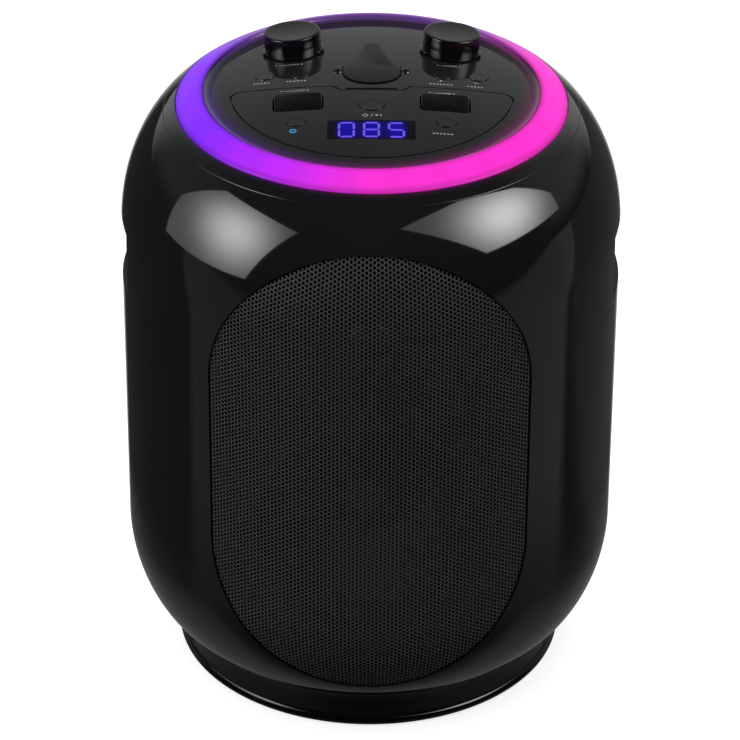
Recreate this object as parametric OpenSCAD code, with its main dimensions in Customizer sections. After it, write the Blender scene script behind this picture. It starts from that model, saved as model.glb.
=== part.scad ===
// Barrel karaoke speaker: a revolved housing with a perforated stadium grille, side grip cups,
// a lit ring round the top and a domed control panel. +Z is up, the front faces -Y, the origin is on
// the floor below the middle of the body. Millimetres.

/* [Housing] */
// Radius of the straight barrel
body_r = 137.8; // [134:0.2:150]
// Height at which the straight barrel starts
barrel_low_z = 84; // [80:1:90]
// Height at which the straight barrel ends
barrel_high_z = 268.4; // [264:0.2:274]
// How far the shoulder's ellipse reaches inward
shoulder_run = 56.6; // [54:0.2:58]
// How far the shoulder's ellipse rises
shoulder_rise = 80.3; // [77:0.1:84]
// How far the skirt's ellipse reaches inward
skirt_run = 50.9; // [48:0.1:54]
// How far the skirt's ellipse would drop
skirt_drop = 70.7; // [67:0.1:74]
// Height of the housing's lower edge
skirt_z = 28; // [26:0.5:30]
// Wall of the housing
wall = 3; // [2.5:0.1:3.6]
// How far the seam to the trim ring lies in from the barrel
seam_in = 24.4; // [22.8:0.1:25.4]

/* [Grip cups] */
// Length of the grip opening from front to back
grip_len = 76; // [66:1:90]
// Height of the grip opening, from its lower edge to where the lip leaves the barrel
grip_open_h = 46.4; // [42:0.2:54]
// Height of the rolled lip
grip_lip_h = 17; // [14:0.2:20]
// How far above the straight barrel's end the rolled lip leaves the body
grip_rise = 11.6; // [9.6:0.2:15.6]
// Corner radius of the grip opening
grip_corner_r = 13; // [8:0.5:16]
// Depth of the grip cup from the barrel's surface
grip_depth = 27; // [22:0.5:30]
// How far the rolled lip runs in from the barrel's surface
grip_lip_run = 7; // [5:0.5:9]
// Wall of a grip cup
grip_wall = 2.4; // [1.8:0.1:3]

/* [Base] */
// How far the base's top lies in from the housing's lower edge
base_step = 5.57; // [4.5:0.01:7]
// How far the waist lies in from the base's top
base_waist_in = 5.8; // [4:0.1:7]
// How far the bead on the floor side stands out past the waist
base_bead = 3.7; // [2.5:0.1:5]
// Height of the waist
base_waist_z = 15; // [12:0.5:18]
// Wall and floor of the base
base_wall = 3; // [2.4:0.1:4]
// Height of the rubber feet below the base
foot_h = 1.4; // [1:0.1:3]
// Diameter of a rubber foot
foot_d = 20; // [14:1:24]
// Distance of each foot's middle from the waist's radius
foot_in = 14.6; // [12.6:0.1:26]

/* [Grille] */
// Half the width of the grille opening, also the radius of its round ends
grille_half_w = 86.5; // [82:0.5:88]
// Height of the middle of the lower round end
grille_low_z = 126; // [124:1:132]
// Height of the middle of the upper round end
grille_high_z = 228; // [220:1:229]
// Thickness of the grille sheet
grille_t = 1.5; // [1:0.1:2]
// How far the grille lies below the housing's surface
grille_inset = 1; // [0.5:0.1:2]
// Gap between the grille and its throat
grille_gap = 0.3; // [0.25:0.05:0.5]
// Distance between neighbouring holes
hole_pitch = 12; // [8:0.5:14]
// Diameter of a hole
hole_d = 7; // [3:0.2:7]
// Plain margin along the grille's edge
hole_margin = 3; // [2:0.5:8]
// Wall of the throat behind the opening
throat_wall = 2.5; // [2:0.1:3]

/* [Loudspeakers] */
// Depth of the throat from the surface at its sides to the baffle
throat_depth = 7.2; // [6:0.1:12]
// Thickness of the baffle
baffle_t = 4; // [3:0.5:6]
// How far the baffle reaches past the grille opening
baffle_lip = 4.5; // [3:0.5:5]
// Height of the woofer's middle
woofer_z = 130; // [126:1:134]
// Outer radius of the woofer's frame
woofer_r = 78; // [74:0.5:80]
// Width of the woofer's mounting rim
woofer_rim = 9; // [7:0.5:11]
// Depth of the woofer's basket behind the baffle's face
woofer_depth = 44; // [38:1:50]
// Radius of the woofer's magnet
magnet_r = 42; // [34:1:46]
// Height of the woofer's magnet
magnet_h = 22; // [16:1:28]
// Width of the woofer's rolled surround
surround_w = 8; // [6:0.5:10]
// Height of the tweeter's middle
tweeter_z = 246; // [245:1:254]
// Outer radius of the tweeter's plate
tweeter_r = 33; // [28:0.5:34]
// Depth of the tweeter behind the baffle's face
tweeter_depth = 22; // [16:1:28]
// Radius of the tweeter's dome
tweeter_dome_r = 12.5; // [10:0.1:13]
// Depth of the woofer's cone
cone_depth = 23; // [18:0.5:26]
// Radius of the woofer's dust cap
cap_r = 19; // [15:0.5:22]
// Length of the voice coil behind the cone
coil_len = 13; // [8:0.5:16]

/* [Lit ring] */
// Width of the gloss trim ring
trim_w = 6.6; // [5.6:0.1:7.4]
// Gap at the seam between housing and trim ring
seam_gap = 0.2; // [0.1:0.05:0.4]
// Width of the lit ring
ring_w = 14.1; // [12.8:0.1:14.6]
// Wall of the diffuser
ring_wall = 2.2; // [1.6:0.1:3]
// Gap between trim ring, diffuser and panel
ring_gap = 0.3; // [0.2:0.05:0.5]
// Number of lamps below the diffuser
lamps = 24; // [12:1:36]

/* [Deck] */
// How far the deck's top face lies below the seam
deck_drop = 1.44; // [1:0.01:2.4]
// Thickness of the deck
deck_t = 2.5; // [2:0.1:3]
// How far the control board's top face lies below the deck's
board_drop = 7; // [5.6:0.1:8.4]
// Thickness of the circuit boards
board_t = 1.6; // [1:0.1:2]

/* [Control panel] */
// Radius of the sphere that the domed panel follows
dome_r = 566; // [520:2:640]
// How far the middle of the dome stands above the lit ring's inner edge
dome_rise = 3.43; // [2.9:0.01:4.2]
// Thickness of the panel
panel_t = 2.5; // [2:0.1:3]
// Width of the flat top of the rim round the panel
rim_t = 0.6; // [0.4:0.1:1]
// Width of the cove in which the panel rises to its rim
cove_w = 5; // [3:0.1:6]
// How far the rim stays below the lit ring's inner edge
rim_drop = 0.4; // [0.2:0.1:1]
// How far the half-round inlay lies in from the panel's edge
inlay_in = 14.9; // [13:0.1:16.4]
// Thickness of the inlay
inlay_t = 1.2; // [0.8:0.1:1.4]
// Distance of the inlay's straight edge in front of the middle
inlay_y = 4; // [3:0.5:6]
// Half the width of the notch in the inlay's straight edge
notch_half_w = 17; // [15:0.5:20]
// Depth of that notch
notch_depth = 4.8; // [3:0.2:6]
// Groove round the inlay
inlay_gap = 0.3; // [0.2:0.05:0.5]

/* [Knobs] */
// Distance of each knob's axis from the panel's edge
knob_in = 29.81; // [29:0.01:30.4]
// Angle of each knob's place behind the panel's sideways axis
knob_angle = 45.78; // [44:0.01:48]
// Diameter of a knob
knob_d = 31.4; // [26:0.2:34]
// Height of a knob
knob_h = 11.3; // [9:0.1:16]
// How far the knob's foot flange stands out
knob_flange = 1.4; // [0.8:0.1:2]
// Gap between knob and panel
knob_lift = 0.7; // [0.5:0.1:1.5]
// Diameter of the control's shaft
shaft_d = 6; // [5:0.1:6.4]
// Flat across the shaft
shaft_flat = 4.5; // [4:0.1:5]
// Diameter of the control's bushing
bushing_d = 8; // [7.4:0.1:9]
// Running clearance of a shaft or pin in its bore, on the radius
running_gap = 0.05; // [0.02:0.01:0.09]

/* [Rockers] */
// Distance of each rocker from the middle, sideways
rocker_x = 39.6; // [37:0.1:42]
// Distance of each rocker from the middle, forward
rocker_y = 21.5; // [20:0.5:23]
// Length of a rocker's opening
rocker_len = 27.5; // [24:0.5:30]
// Width of a rocker's opening
rocker_w = 17; // [14:0.5:18]
// Corner radius of a rocker's opening
rocker_corner_r = 3; // [2:0.5:4]
// Gap round a rocker
rocker_gap = 0.8; // [0.7:0.1:1.2]
// Thickness of the lugs that hold a rocker's pin
rocker_lug_t = 2.7; // [2:0.1:3]
// How far a rocker's rear edge stands above the panel
rocker_proud = 1.9; // [1.4:0.1:2.4]
// Slope of a rocker's face towards the front
rocker_slope = 12.5; // [8:0.5:13]
// Thickness of a rocker at its rear edge
rocker_t = 5.3; // [5:0.1:6]
// How far a rocker tilts to either side
rocker_tilt = 4; // [2:0.5:4]
// Distance of a rocker's contact stems from its ends
stem_in = 3; // [2.5:0.1:4]
// Depth of a rocker's pin below the panel's surface
rocker_pin_depth = 6; // [5.5:0.1:7]
// Diameter of a rocker's pin
rocker_pin_d = 2; // [1.6:0.1:2.4]

/* [Keys] */
// Diameter of the power key
power_d = 14.5; // [12:0.5:15.5]
// Diameter of the other keys
key_d = 11; // [9:0.5:12]
// Gap round a key
key_gap = 0.3; // [0.3:0.05:0.5]
// How far a key's retaining flange reaches past the key
key_overhang = 1; // [0.8:0.1:1.2]
// How far a key stands above the panel
key_proud = 0.4; // [0.2:0.1:1]
// Travel of a key
key_travel = 0.8; // [0.6:0.1:1]
// Height of the switches on the control board
switch_h = 4.3; // [3:0.1:6]

/* [Display] */
// Width of the display window
window_w = 46.6; // [42:0.2:48]
// Height of the display window
window_h = 18.4; // [16:0.2:20]
// Thickness of the window
window_t = 1.2; // [0.8:0.1:1.4]
// Distance of the window's middle in front of the middle
window_y = 50.6; // [49:0.2:52]

/* [Device rest] */
// Distance of the rest's pin behind the middle
rest_y = 14.5; // [13.5:0.1:15.5]
// Half the width of the rest's oval body
rest_half_w = 15.5; // [13:0.5:16]
// Half the length of the rest's oval body
rest_half_len = 12.2; // [11:0.1:13]
// How far the oval's middle lies in front of the rest's pin
rest_shift = 4; // [3:0.1:4.5]
// Distance of the arm's end behind the middle
rest_end_y = 49.6; // [44:0.2:52]
// Width of the arm's end
rest_end_w = 7.4; // [5:0.2:10]
// Thickness of the rest
rest_t = 3; // [2.5:0.1:4]
// How far the rest stands above the panel
rest_proud = 0.6; // [0.3:0.1:1.5]
// Depth of the rest's pin below the panel's surface
rest_pin_depth = 1.6; // [1.5:0.1:2]
// Gap between the rest and its well
rest_gap = 0.5; // [0.4:0.05:0.8]
// Diameter of the rest's pin
rest_pin_d = 2.5; // [2:0.1:3]
// Diameter of the pin's round heads
rest_head_d = 5.4; // [4.6:0.1:6]

/* [Rear panel] */
// Width of the rear opening
rear_w = 92; // [84:1:96]
// Height of the rear opening
rear_h = 76; // [70:1:80]
// Height of the middle of the rear opening
rear_z = 112; // [108:1:118]
// How far the jack plate's outer face lies in from the barrel
rear_in = 13.8; // [11.8:0.1:15.8]
// Thickness of the jack plate
rear_t = 2.5; // [2:0.1:3]
// Bore of a microphone socket
mic_bore_d = 6.5; // [6.4:0.05:6.8]
// Distance of each microphone socket from the plate's middle, sideways
mic_x = 18; // [15:0.5:24]
// Distance of the microphone sockets above the plate's middle
mic_up = 14; // [12:0.5:18]
// Distance of the small sockets below the plate's middle
small_down = 18; // [15:0.5:22]
// Distance of the outer small sockets from the plate's middle
small_x = 28; // [24:0.5:32]

/* [Electronics] */
// Width of the battery pack
battery_w = 112; // [90:1:120]
// Depth of the battery pack from front to back
battery_d = 62; // [50:1:70]
// Height of the battery pack
battery_h = 48; // [36:1:54]
// Distance of the battery's front face in front of the middle
battery_y = 10; // [4:1:16]
// Width of the amplifier board
amp_w = 88; // [70:1:96]
// Height of the amplifier board
amp_h = 68; // [56:1:76]
// Distance of the amplifier board behind the jack plate
amp_gap = 16; // [16:0.5:24]
// Width of the amplifier's heat sink
sink_w = 60; // [40:1:66]
// Depth of the amplifier's heat sink
sink_d = 14; // [8:1:18]
// Height of the amplifier's heat sink
sink_h = 22; // [14:1:26]

/* [Hidden] */
$fn = 96;
eps = 0.01;
curve_steps = 12;

// Shared heights and radii
shoulder_c = body_r - shoulder_run;
skirt_c = body_r - skirt_run;
seam_r = body_r - seam_in;
seam_z = shoulder_z(seam_r);
seam_angle = acos((seam_r - shoulder_c) / shoulder_run);
skirt_angle = asin((barrel_low_z - skirt_z) / skirt_drop);
base_top_r = skirt_r(skirt_z) - base_step;
base_waist_r = base_top_r - base_waist_in;
base_r = base_waist_r + base_bead;
foot_circle_r = base_waist_r - foot_in;
flange_w = 14.4;
flange_r = base_top_r - flange_w;
flange_z = skirt_z + 2;
ledge_t = 3;
deck_z = seam_z - deck_drop;
board_z = deck_z - board_drop;
deck_hang_z = deck_z - deck_t;
deck_in = 4.8;
deck_edge_r = seam_r - deck_in;
ledge_w = 8.6;
ledge_r = deck_edge_r - ledge_w;
ring_outer_r = seam_r - seam_gap - trim_w - ring_gap;
ring_inner_r = ring_outer_r - ring_w;
panel_r = ring_inner_r - ring_gap;
rim_z = shoulder_z(ring_inner_r) - rim_drop;
cove_out_r = panel_r - rim_t;
cove_in_r = cove_out_r - cove_w;
dome_top_z = shoulder_z(ring_inner_r) + dome_rise;
seat_w = 5.9;
seat_in_r = panel_r - seat_w;
panel_edge_z = dome_z(seat_in_r, 0) - panel_t - 1;
shelf_w = 16;
shelf_out_r = seat_in_r - 4;
shelf_in_r = shelf_out_r - shelf_w;
inlay_r = panel_r - inlay_in;
knob_x = (panel_r - knob_in) * cos(knob_angle);
knob_y = (panel_r - knob_in) * sin(knob_angle);
board_r = shelf_out_r - deck_t - 0.4;
ring_trim_r = ring_outer_r + ring_gap;
hole_row = hole_pitch * sqrt(3) / 2;
throat_in = grille_half_w;
throat_out = throat_in + throat_wall;
baffle_y = sqrt(body_r * body_r - throat_out * throat_out) - throat_depth;
baffle_back_y = baffle_y - baffle_t;
press_gap = 0.02;
under_gap = 0.1;
rest_well_r = rest_half_len + rest_shift + rest_gap + 0.8;
rest_well_half_w = rest_half_w + rest_gap;
well_wall = 2;
mouth_t = 1.4;
head_x = rest_well_half_w + well_wall + 0.4;
rear_y = body_r - rear_in;
jack_board_y = rear_y - rear_t - amp_gap;
grip_top_z = barrel_high_z + grip_rise;
grip_low_z = grip_top_z - grip_open_h;
grip_lip_z = grip_top_z - grip_lip_h;
grip_back_r = body_r - grip_depth;
rocker_half_l = rocker_len / 2 - rocker_gap;
rocker_half_w = rocker_w / 2 - rocker_gap;
stem_x = rocker_half_l - stem_in;

function shoulder_z(r) = barrel_high_z + shoulder_rise * sqrt(1 - pow((r - shoulder_c) / shoulder_run, 2));
function skirt_r(z) = skirt_c + skirt_run * sqrt(1 - pow((barrel_low_z - z) / skirt_drop, 2));
function dome_z(x, y) = dome_top_z - dome_r + sqrt(dome_r * dome_r - x * x - y * y);
function bow(c, a, b, from, to, steps = curve_steps) =
    [for (i = [0:steps]) let (t = from + (to - from) * i / steps) [c[0] + a * cos(t), c[1] + b * sin(t)]];
function back(list) = [for (i = [len(list) - 1:-1:0]) list[i]];

// Positions of the keys: x, y, diameter
KEYS = [
    [0, -24.3, power_d],
    [-40.2, -40.5, key_d],
    [40.2, -40.5, key_d],
    [-58, 13.5, key_d],
    [-39, 12.2, key_d],
    [39, 12.2, key_d],
    [58, 13.5, key_d]
];

GLOSS = [0.03, 0.03, 0.035];
SATIN = [0.09, 0.09, 0.1];
RUBBER = [0.06, 0.06, 0.06];
STEEL = [0.6, 0.6, 0.62];
BOARD = [0.05, 0.25, 0.12];

// Outline of the body at a given depth below its surface, from the skirt's edge to the seam
function body_curve(depth, low_angle, high_angle) = concat(
    bow([skirt_c, barrel_low_z], skirt_run - depth, skirt_drop - depth, -low_angle, 0),
    bow([shoulder_c, barrel_high_z], shoulder_run - depth, shoulder_rise - depth, 0, high_angle)
);

module round_rect(w, h, r) {
    square([w - 2 * r, h], center = true);
    square([w, h - 2 * r], center = true);
    for (sx = [-1, 1])
        for (sy = [-1, 1])
            translate([sx * (w / 2 - r), sy * (h / 2 - r)])
                circle(r);
}

// Stadium in the front view: x sideways, y is the height
module stadium(half_w) {
    for (z = [grille_low_z, grille_high_z])
        translate([0, z])
            circle(half_w);
    translate([-half_w, grille_low_z])
        square([2 * half_w, grille_high_z - grille_low_z]);
}

// Extrudes a front-view outline from y = -far to y = -near
module to_front(near, far) {
    translate([0, -near, 0])
        rotate([90, 0, 0])
            linear_extrude(far - near)
                children();
}

// Extrudes an outline drawn as y, z along X from x = near to x = far
module to_side(near, far) {
    translate([near, 0, 0])
        rotate([90, 0, 90])
            linear_extrude(far - near)
                children();
}

// Places children on the dome at x, y with +Z along the dome's normal
module on_dome(x, y) {
    translate([x, y, dome_z(x, y)])
        rotate(a = asin(norm([x, y]) / dome_r), v = [-y, x, 0])
            children();
}

module housing() {
    inner_high = asin((seam_z - barrel_high_z) / (shoulder_rise - wall));
    inner_low = asin((barrel_low_z - skirt_z) / (skirt_drop - wall));
    color(GLOSS)
    difference() {
        union() {
            rotate_extrude()
                polygon(concat(
                    body_curve(0, skirt_angle, seam_angle),
                    back(body_curve(wall, inner_low, inner_high))
                ));
            rotate_extrude()
                translate([ledge_r, deck_hang_z - ledge_t])
                    square([shoulder_r(deck_hang_z) - wall / 2 - ledge_r, ledge_t]);
            rotate_extrude()
                polygon([
                    [flange_r, flange_z],
                    [skirt_r(flange_z) - wall / 2, flange_z],
                    [skirt_r(flange_z + ledge_t) - wall / 2, flange_z + ledge_t],
                    [flange_r, flange_z + ledge_t]
                ]);
            intersection() {
                to_front(baffle_y, body_r)
                    difference() {
                        stadium(throat_out);
                        stadium(throat_in);
                    }
                rotate_extrude()
                    polygon(concat([[0, skirt_z]],
                        body_curve(wall / 2, inner_low, inner_high), [[0, seam_z]]));
            }
        }
        to_front(baffle_y - eps, body_r + 10)
            stadium(throat_in);
        for (side = [-1, 1])
            to_side(side > 0 ? grip_back_r * 0.8 : -body_r - 5, side > 0 ? body_r + 5 : -grip_back_r * 0.8)
                translate([0, (grip_low_z + grip_top_z) / 2])
                    round_rect(grip_len, grip_top_z - grip_low_z, grip_corner_r);
        translate([0, 0, rear_z])
            to_front(-body_r - 5, -rear_y + 40)
                round_rect(rear_w, rear_h, 8);
    }
}

function shoulder_r(z) = shoulder_c + shoulder_run * sqrt(1 - pow((z - barrel_high_z) / shoulder_rise, 2));

// A cup with a rolled upper lip: a block under the body's surface, hollowed by a revolved cavity
module grip_cup() {
    clear = 0.3;
    outer_w = grip_len - 2 * clear;
    outer_h = grip_top_z - grip_low_z - 2 * clear;
    mid_z = (grip_low_z + grip_top_z) / 2;
    back_r = grip_back_r;
    lip_r = body_r - grip_lip_run;
    lip_angle = asin((grip_rise + 5) / shoulder_rise);
    color(GLOSS)
    difference() {
        intersection() {
            to_side(back_r * 0.8, body_r + 5)
                translate([0, mid_z])
                    round_rect(outer_w, outer_h, grip_corner_r - clear);
            rotate_extrude()
                polygon(concat(
                    [[back_r - grip_wall, grip_low_z - 5]],
                    [[body_r, grip_low_z - 5]],
                    bow([shoulder_c, barrel_high_z], shoulder_run, shoulder_rise, 0, lip_angle, 6),
                    [[back_r - grip_wall, barrel_high_z + shoulder_rise * sin(lip_angle)]]
                ));
        }
        intersection() {
            to_side(back_r * 0.8, body_r + 5)
                translate([0, mid_z])
                    round_rect(outer_w - 2 * grip_wall, outer_h + 10, grip_corner_r - clear - grip_wall / 2);
            rotate_extrude()
                polygon(concat(
                    [[body_r + 5, grip_top_z - clear]],
                    bow([lip_r, grip_top_z - clear], grip_lip_run, grip_top_z - clear - grip_lip_z, 0, -90, 8),
                    [[lip_r - 2.4, grip_lip_z + 0.8]],
                    [[lip_r - 3.6, grip_lip_z + 3.4]],
                    [[lip_r - 3.8, grip_top_z - clear - grip_wall - 3]],
                    [[lip_r - 6.6, grip_top_z - clear - grip_wall]],
                    [[back_r + 4, grip_top_z - clear - grip_wall]],
                    [[back_r, grip_top_z - clear - grip_wall - 4]],
                    [[back_r, grip_low_z + clear + grip_wall + 6]],
                    [[back_r + 6, grip_low_z + clear + grip_wall]],
                    [[body_r + 5, grip_low_z + clear + grip_wall]]
                ));
        }
    }
}

module grip_right() {
    grip_cup();
}

module grip_left() {
    mirror([1, 0, 0])
        grip_cup();
}

module base_pan() {
    bead_z = 3.4;
    under_z = foot_h;
    low = [for (i = [0:6]) let (s = i / 6)
        [base_waist_r + (base_r - base_waist_r) * (1 - s) * (1 - s), bead_z + (base_waist_z - bead_z) * s]];
    high = [for (i = [1:6]) let (s = i / 6)
        [base_waist_r + (base_top_r - base_waist_r) * s * s,
            base_waist_z + (flange_z - 1 - base_waist_z) * s]];
    color(GLOSS)
    difference() {
        rotate_extrude()
            polygon(concat(
                [[0, under_z], [base_r - 1.6, under_z], [base_r - 0.4, under_z + 0.7]],
                low, high,
                [[base_top_r, flange_z]],
                [[base_top_r - base_wall, flange_z]],
                back([for (p = high) [p[0] - base_wall, p[1]]]),
                [[base_waist_r - base_wall, under_z + base_wall], [0, under_z + base_wall]]
            ));
        for (i = [0:3])
            rotate([0, 0, 45 + 90 * i])
                translate([foot_circle_r, 0, -eps])
                    cylinder(h = foot_h + 1, d = foot_d + 0.4);
    }
}

module foot(i) {
    color(RUBBER)
    rotate([0, 0, 45 + 90 * i])
        translate([foot_circle_r, 0, 0])
            cylinder(h = foot_h + 1 - eps, d = foot_d);
}

// Curved sheet with a hexagonal pattern of round holes in vertical columns
module speaker_grille() {
    reach = grille_half_w - grille_gap;
    safe = reach - hole_margin - hole_d / 2;
    mid_z = (grille_low_z + grille_high_z) / 2;
    half_straight = (grille_high_z - grille_low_z) / 2;
    columns = floor(body_r * asin(safe / body_r) * PI / 180 / hole_row);
    rows = ceil((half_straight + safe) / hole_pitch);
    color(RUBBER)
    difference() {
        intersection() {
            rotate_extrude()
                polygon(concat(
                    body_curve(grille_inset, skirt_angle, seam_angle),
                    back(body_curve(grille_inset + grille_t, skirt_angle, seam_angle))
                ));
            to_front(30, body_r + 5)
                stadium(reach);
        }
        for (c = [-columns:columns])
            let (turn = c * hole_row / body_r * 180 / PI, x = body_r * sin(turn))
            for (r = [-rows:rows])
                let (dz = (r + (c % 2 == 0 ? 0 : 0.5)) * hole_pitch,
                    past = max(0, abs(dz) - half_straight))
                if (norm([x, past]) < safe)
                    rotate([0, 0, turn])
                        translate([0, -100, mid_z + dz])
                            rotate([90, 0, 0])
                                cylinder(h = body_r - 95, d = hole_d, $fn = 24);
    }
}

module baffle() {
    color(SATIN)
    to_front(baffle_back_y, baffle_y)
        difference() {
            stadium(grille_half_w + baffle_lip);
            translate([0, woofer_z])
                circle(woofer_r - woofer_rim + 1);
            translate([0, tweeter_z])
                circle(tweeter_r - 7);
        }
}

// Turns a revolved loudspeaker piece to face the front: +Z of the child becomes -Y
module facing_front(z) {
    translate([0, -baffle_y, z])
        rotate([90, 0, 0])
            children();
}

module woofer_basket() {
    throat_r = woofer_r - woofer_rim;
    rim_h = 3;
    color(SATIN)
    facing_front(woofer_z)
        difference() {
            rotate_extrude()
                polygon([
                    [throat_r, 0], [woofer_r, 0], [woofer_r, rim_h], [throat_r - 2, rim_h],
                    [throat_r - 2, -2], [magnet_r - 4, -woofer_depth + 2], [14, -woofer_depth + 2],
                    [14, -woofer_depth], [magnet_r - 2, -woofer_depth], [throat_r, -4]
                ]);
            for (i = [0:5])
                rotate([0, 0, 60 * i])
                    translate([magnet_r + 6, 0, -woofer_depth / 2 - 1])
                        cube([40, 32, woofer_depth * 0.5], center = true);
        }
}

module woofer_cone() {
    edge_r = woofer_r - woofer_rim - 2.3;
    cone_r = edge_r - surround_w;
    roll = surround_w / 2;
    color(RUBBER)
    facing_front(woofer_z)
        union() {
            rotate_extrude()
                polygon([
                    [cone_r + 0.4, 1.5], [cone_r + 0.4, 0.3], [cap_r, -cone_depth],
                    [cap_r, -cone_depth - coil_len], [cap_r - 1.2, -cone_depth - coil_len],
                    [cap_r - 1.2, 1.6 - cone_depth], [cone_r, 1.5]
                ]);
            rotate_extrude()
                translate([cone_r + roll, 1])
                    difference() {
                        circle(roll, $fn = 32);
                        circle(roll - 1, $fn = 32);
                        translate([-roll - 1, -roll - 1])
                            square([2 * roll + 2, roll + 1]);
                    }
            rotate_extrude()
                polygon(concat(
                    bow([0, -cone_depth - 4], cap_r - 0.6, 13, 0, 90, 8),
                    back(bow([0, -cone_depth - 4], cap_r - 1.6, 12, 0, 90, 8))
                ));
        }
}

module woofer_magnet() {
    color(STEEL)
    facing_front(woofer_z)
        rotate_extrude()
            polygon([
                [12, -woofer_depth], [magnet_r - 4, -woofer_depth], [magnet_r, -woofer_depth - 4],
                [magnet_r, -woofer_depth - magnet_h], [magnet_r - 5, -woofer_depth - magnet_h - 4],
                [12, -woofer_depth - magnet_h - 4]
            ]);
}

module tweeter() {
    hole_r = tweeter_r - 8;
    color(SATIN)
    facing_front(tweeter_z)
        rotate_extrude()
            polygon(concat(
                [[0, -tweeter_depth], [hole_r - 0.4, -tweeter_depth], [hole_r - 0.4, 0], [tweeter_r, 0]],
                [[tweeter_r, 2.4], [hole_r, 2.4], [tweeter_dome_r + 0.5, -1]],
                bow([0, -1], tweeter_dome_r, 6, 0, 90, 8)
            ));
}

module top_deck() {
    shelf_z = board_z - board_t;
    color(SATIN)
    rotate_extrude()
        polygon([
            [shelf_in_r, shelf_z - deck_t], [shelf_out_r, shelf_z - deck_t],
            [shelf_out_r, deck_hang_z], [deck_edge_r, deck_hang_z], [deck_edge_r, deck_z],
            [panel_r - 0.6, deck_z], [panel_r - 0.6, panel_edge_z], [seat_in_r, panel_edge_z],
            [seat_in_r, deck_z], [shelf_out_r - deck_t, deck_z], [shelf_out_r - deck_t, shelf_z],
            [shelf_in_r, shelf_z]
        ]);
}

// Outline of the shoulder between two radii, as r, z points from the larger to the smaller
function shoulder_span(from_r, to_r, steps) =
    [for (i = [0:steps]) let (r = from_r + (to_r - from_r) * i / steps) [r, shoulder_z(r)]];

module trim_ring() {
    outer = seam_r - seam_gap;
    color(GLOSS)
    rotate_extrude()
        polygon(concat(
            shoulder_span(outer, ring_trim_r, 6),
            [[ring_trim_r, deck_z], [deck_edge_r, deck_z], [deck_edge_r, seam_z], [outer, seam_z]]
        ));
}

module ring_diffuser() {
    leg_in = ring_inner_r + ring_wall;
    leg_out = ring_outer_r - ring_wall;
    color([0.75, 0.2, 0.95])
    rotate_extrude()
        polygon(concat(
            shoulder_span(ring_outer_r, ring_inner_r, 8),
            [[ring_inner_r, deck_z], [leg_in, deck_z]],
            [for (p = shoulder_span(leg_in, leg_out, 8)) [p[0], p[1] - ring_wall]],
            [[leg_out, deck_z], [ring_outer_r, deck_z]]
        ));
}

module ring_board() {
    in_r = ring_inner_r + ring_wall + 0.6;
    out_r = ring_outer_r - ring_wall - 0.6;
    color(BOARD)
    union() {
        translate([0, 0, deck_z])
            difference() {
                cylinder(h = board_t, r = out_r);
                translate([0, 0, -1])
                    cylinder(h = board_t + 2, r = in_r);
            }
        for (i = [0:lamps - 1])
            rotate([0, 0, 360 * i / lamps])
                translate([(in_r + out_r) / 2, 0, deck_z + board_t + 0.5])
                    cube([3.5, 3.5, 1.4], center = true);
    }
}

// Half disc with rounded corners and a notch in its straight edge
module inlay_outline(grow) {
    corner = 6;
    big = inlay_r + grow;
    corner_y = -inlay_y + grow - corner;
    corner_x = sqrt(pow(big - corner, 2) - corner_y * corner_y);
    lean = atan2(-corner_y, corner_x);
    polygon(concat(
        [for (i = [0:30]) let (t = 180 + lean + (180 - 2 * lean) * i / 30) big * [cos(t), sin(t)]],
        bow([corner_x, corner_y], corner, corner, -lean, 90, 6),
        [[notch_half_w + 4 - grow, -inlay_y + grow], [notch_half_w - grow, -inlay_y - notch_depth + grow]],
        [[-notch_half_w + grow, -inlay_y - notch_depth + grow], [-notch_half_w - 4 + grow, -inlay_y + grow]],
        bow([-corner_x, corner_y], corner, corner, 90, 180 + lean, 6)
    ));
}

// Dome surface from the axis outward, lowered along Z
function dome_curve(radius, drop) =
    [for (i = [0:8]) let (r = radius * i / 8) [r, dome_z(r, 0) - drop]];

module dome_slab(radius, top_drop, low_drop) {
    rotate_extrude()
        polygon(concat(dome_curve(radius, low_drop), back(dome_curve(radius, top_drop))));
}

// Outline of the device rest, drawn round its pin: an oval with an arm that flares into it
module rest_outline(grow) {
    end = rest_end_y - rest_y + grow;
    half_end = rest_end_w / 2 + grow;
    half_w = rest_half_w + grow;
    flare_y = rest_half_len / 2;
    barrel = rest_pin_depth + rest_proud + grow;
    flare = [for (i = [0:8]) let (s = i / 8)
        [half_end + (half_w - half_end) * pow(1 - s, 1.6), flare_y + (end - flare_y) * s]];
    translate([0, -rest_shift])
        polygon(bow([0, 0], half_w, rest_half_len + grow, 0, 355, 71));
    polygon(concat(
        [[half_w, -barrel]], flare, back([for (p = flare) [-p[0], p[1]]]), [[-half_w, -barrel]]
    ));
}

module at_rest() {
    on_dome(0, rest_y)
        children();
}

// Drum along X round the rest's pin
module rest_drum(radius, half_w) {
    translate([-half_w, 0, -rest_pin_depth])
        rotate([0, 90, 0])
            cylinder(h = 2 * half_w, r = radius);
}

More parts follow.
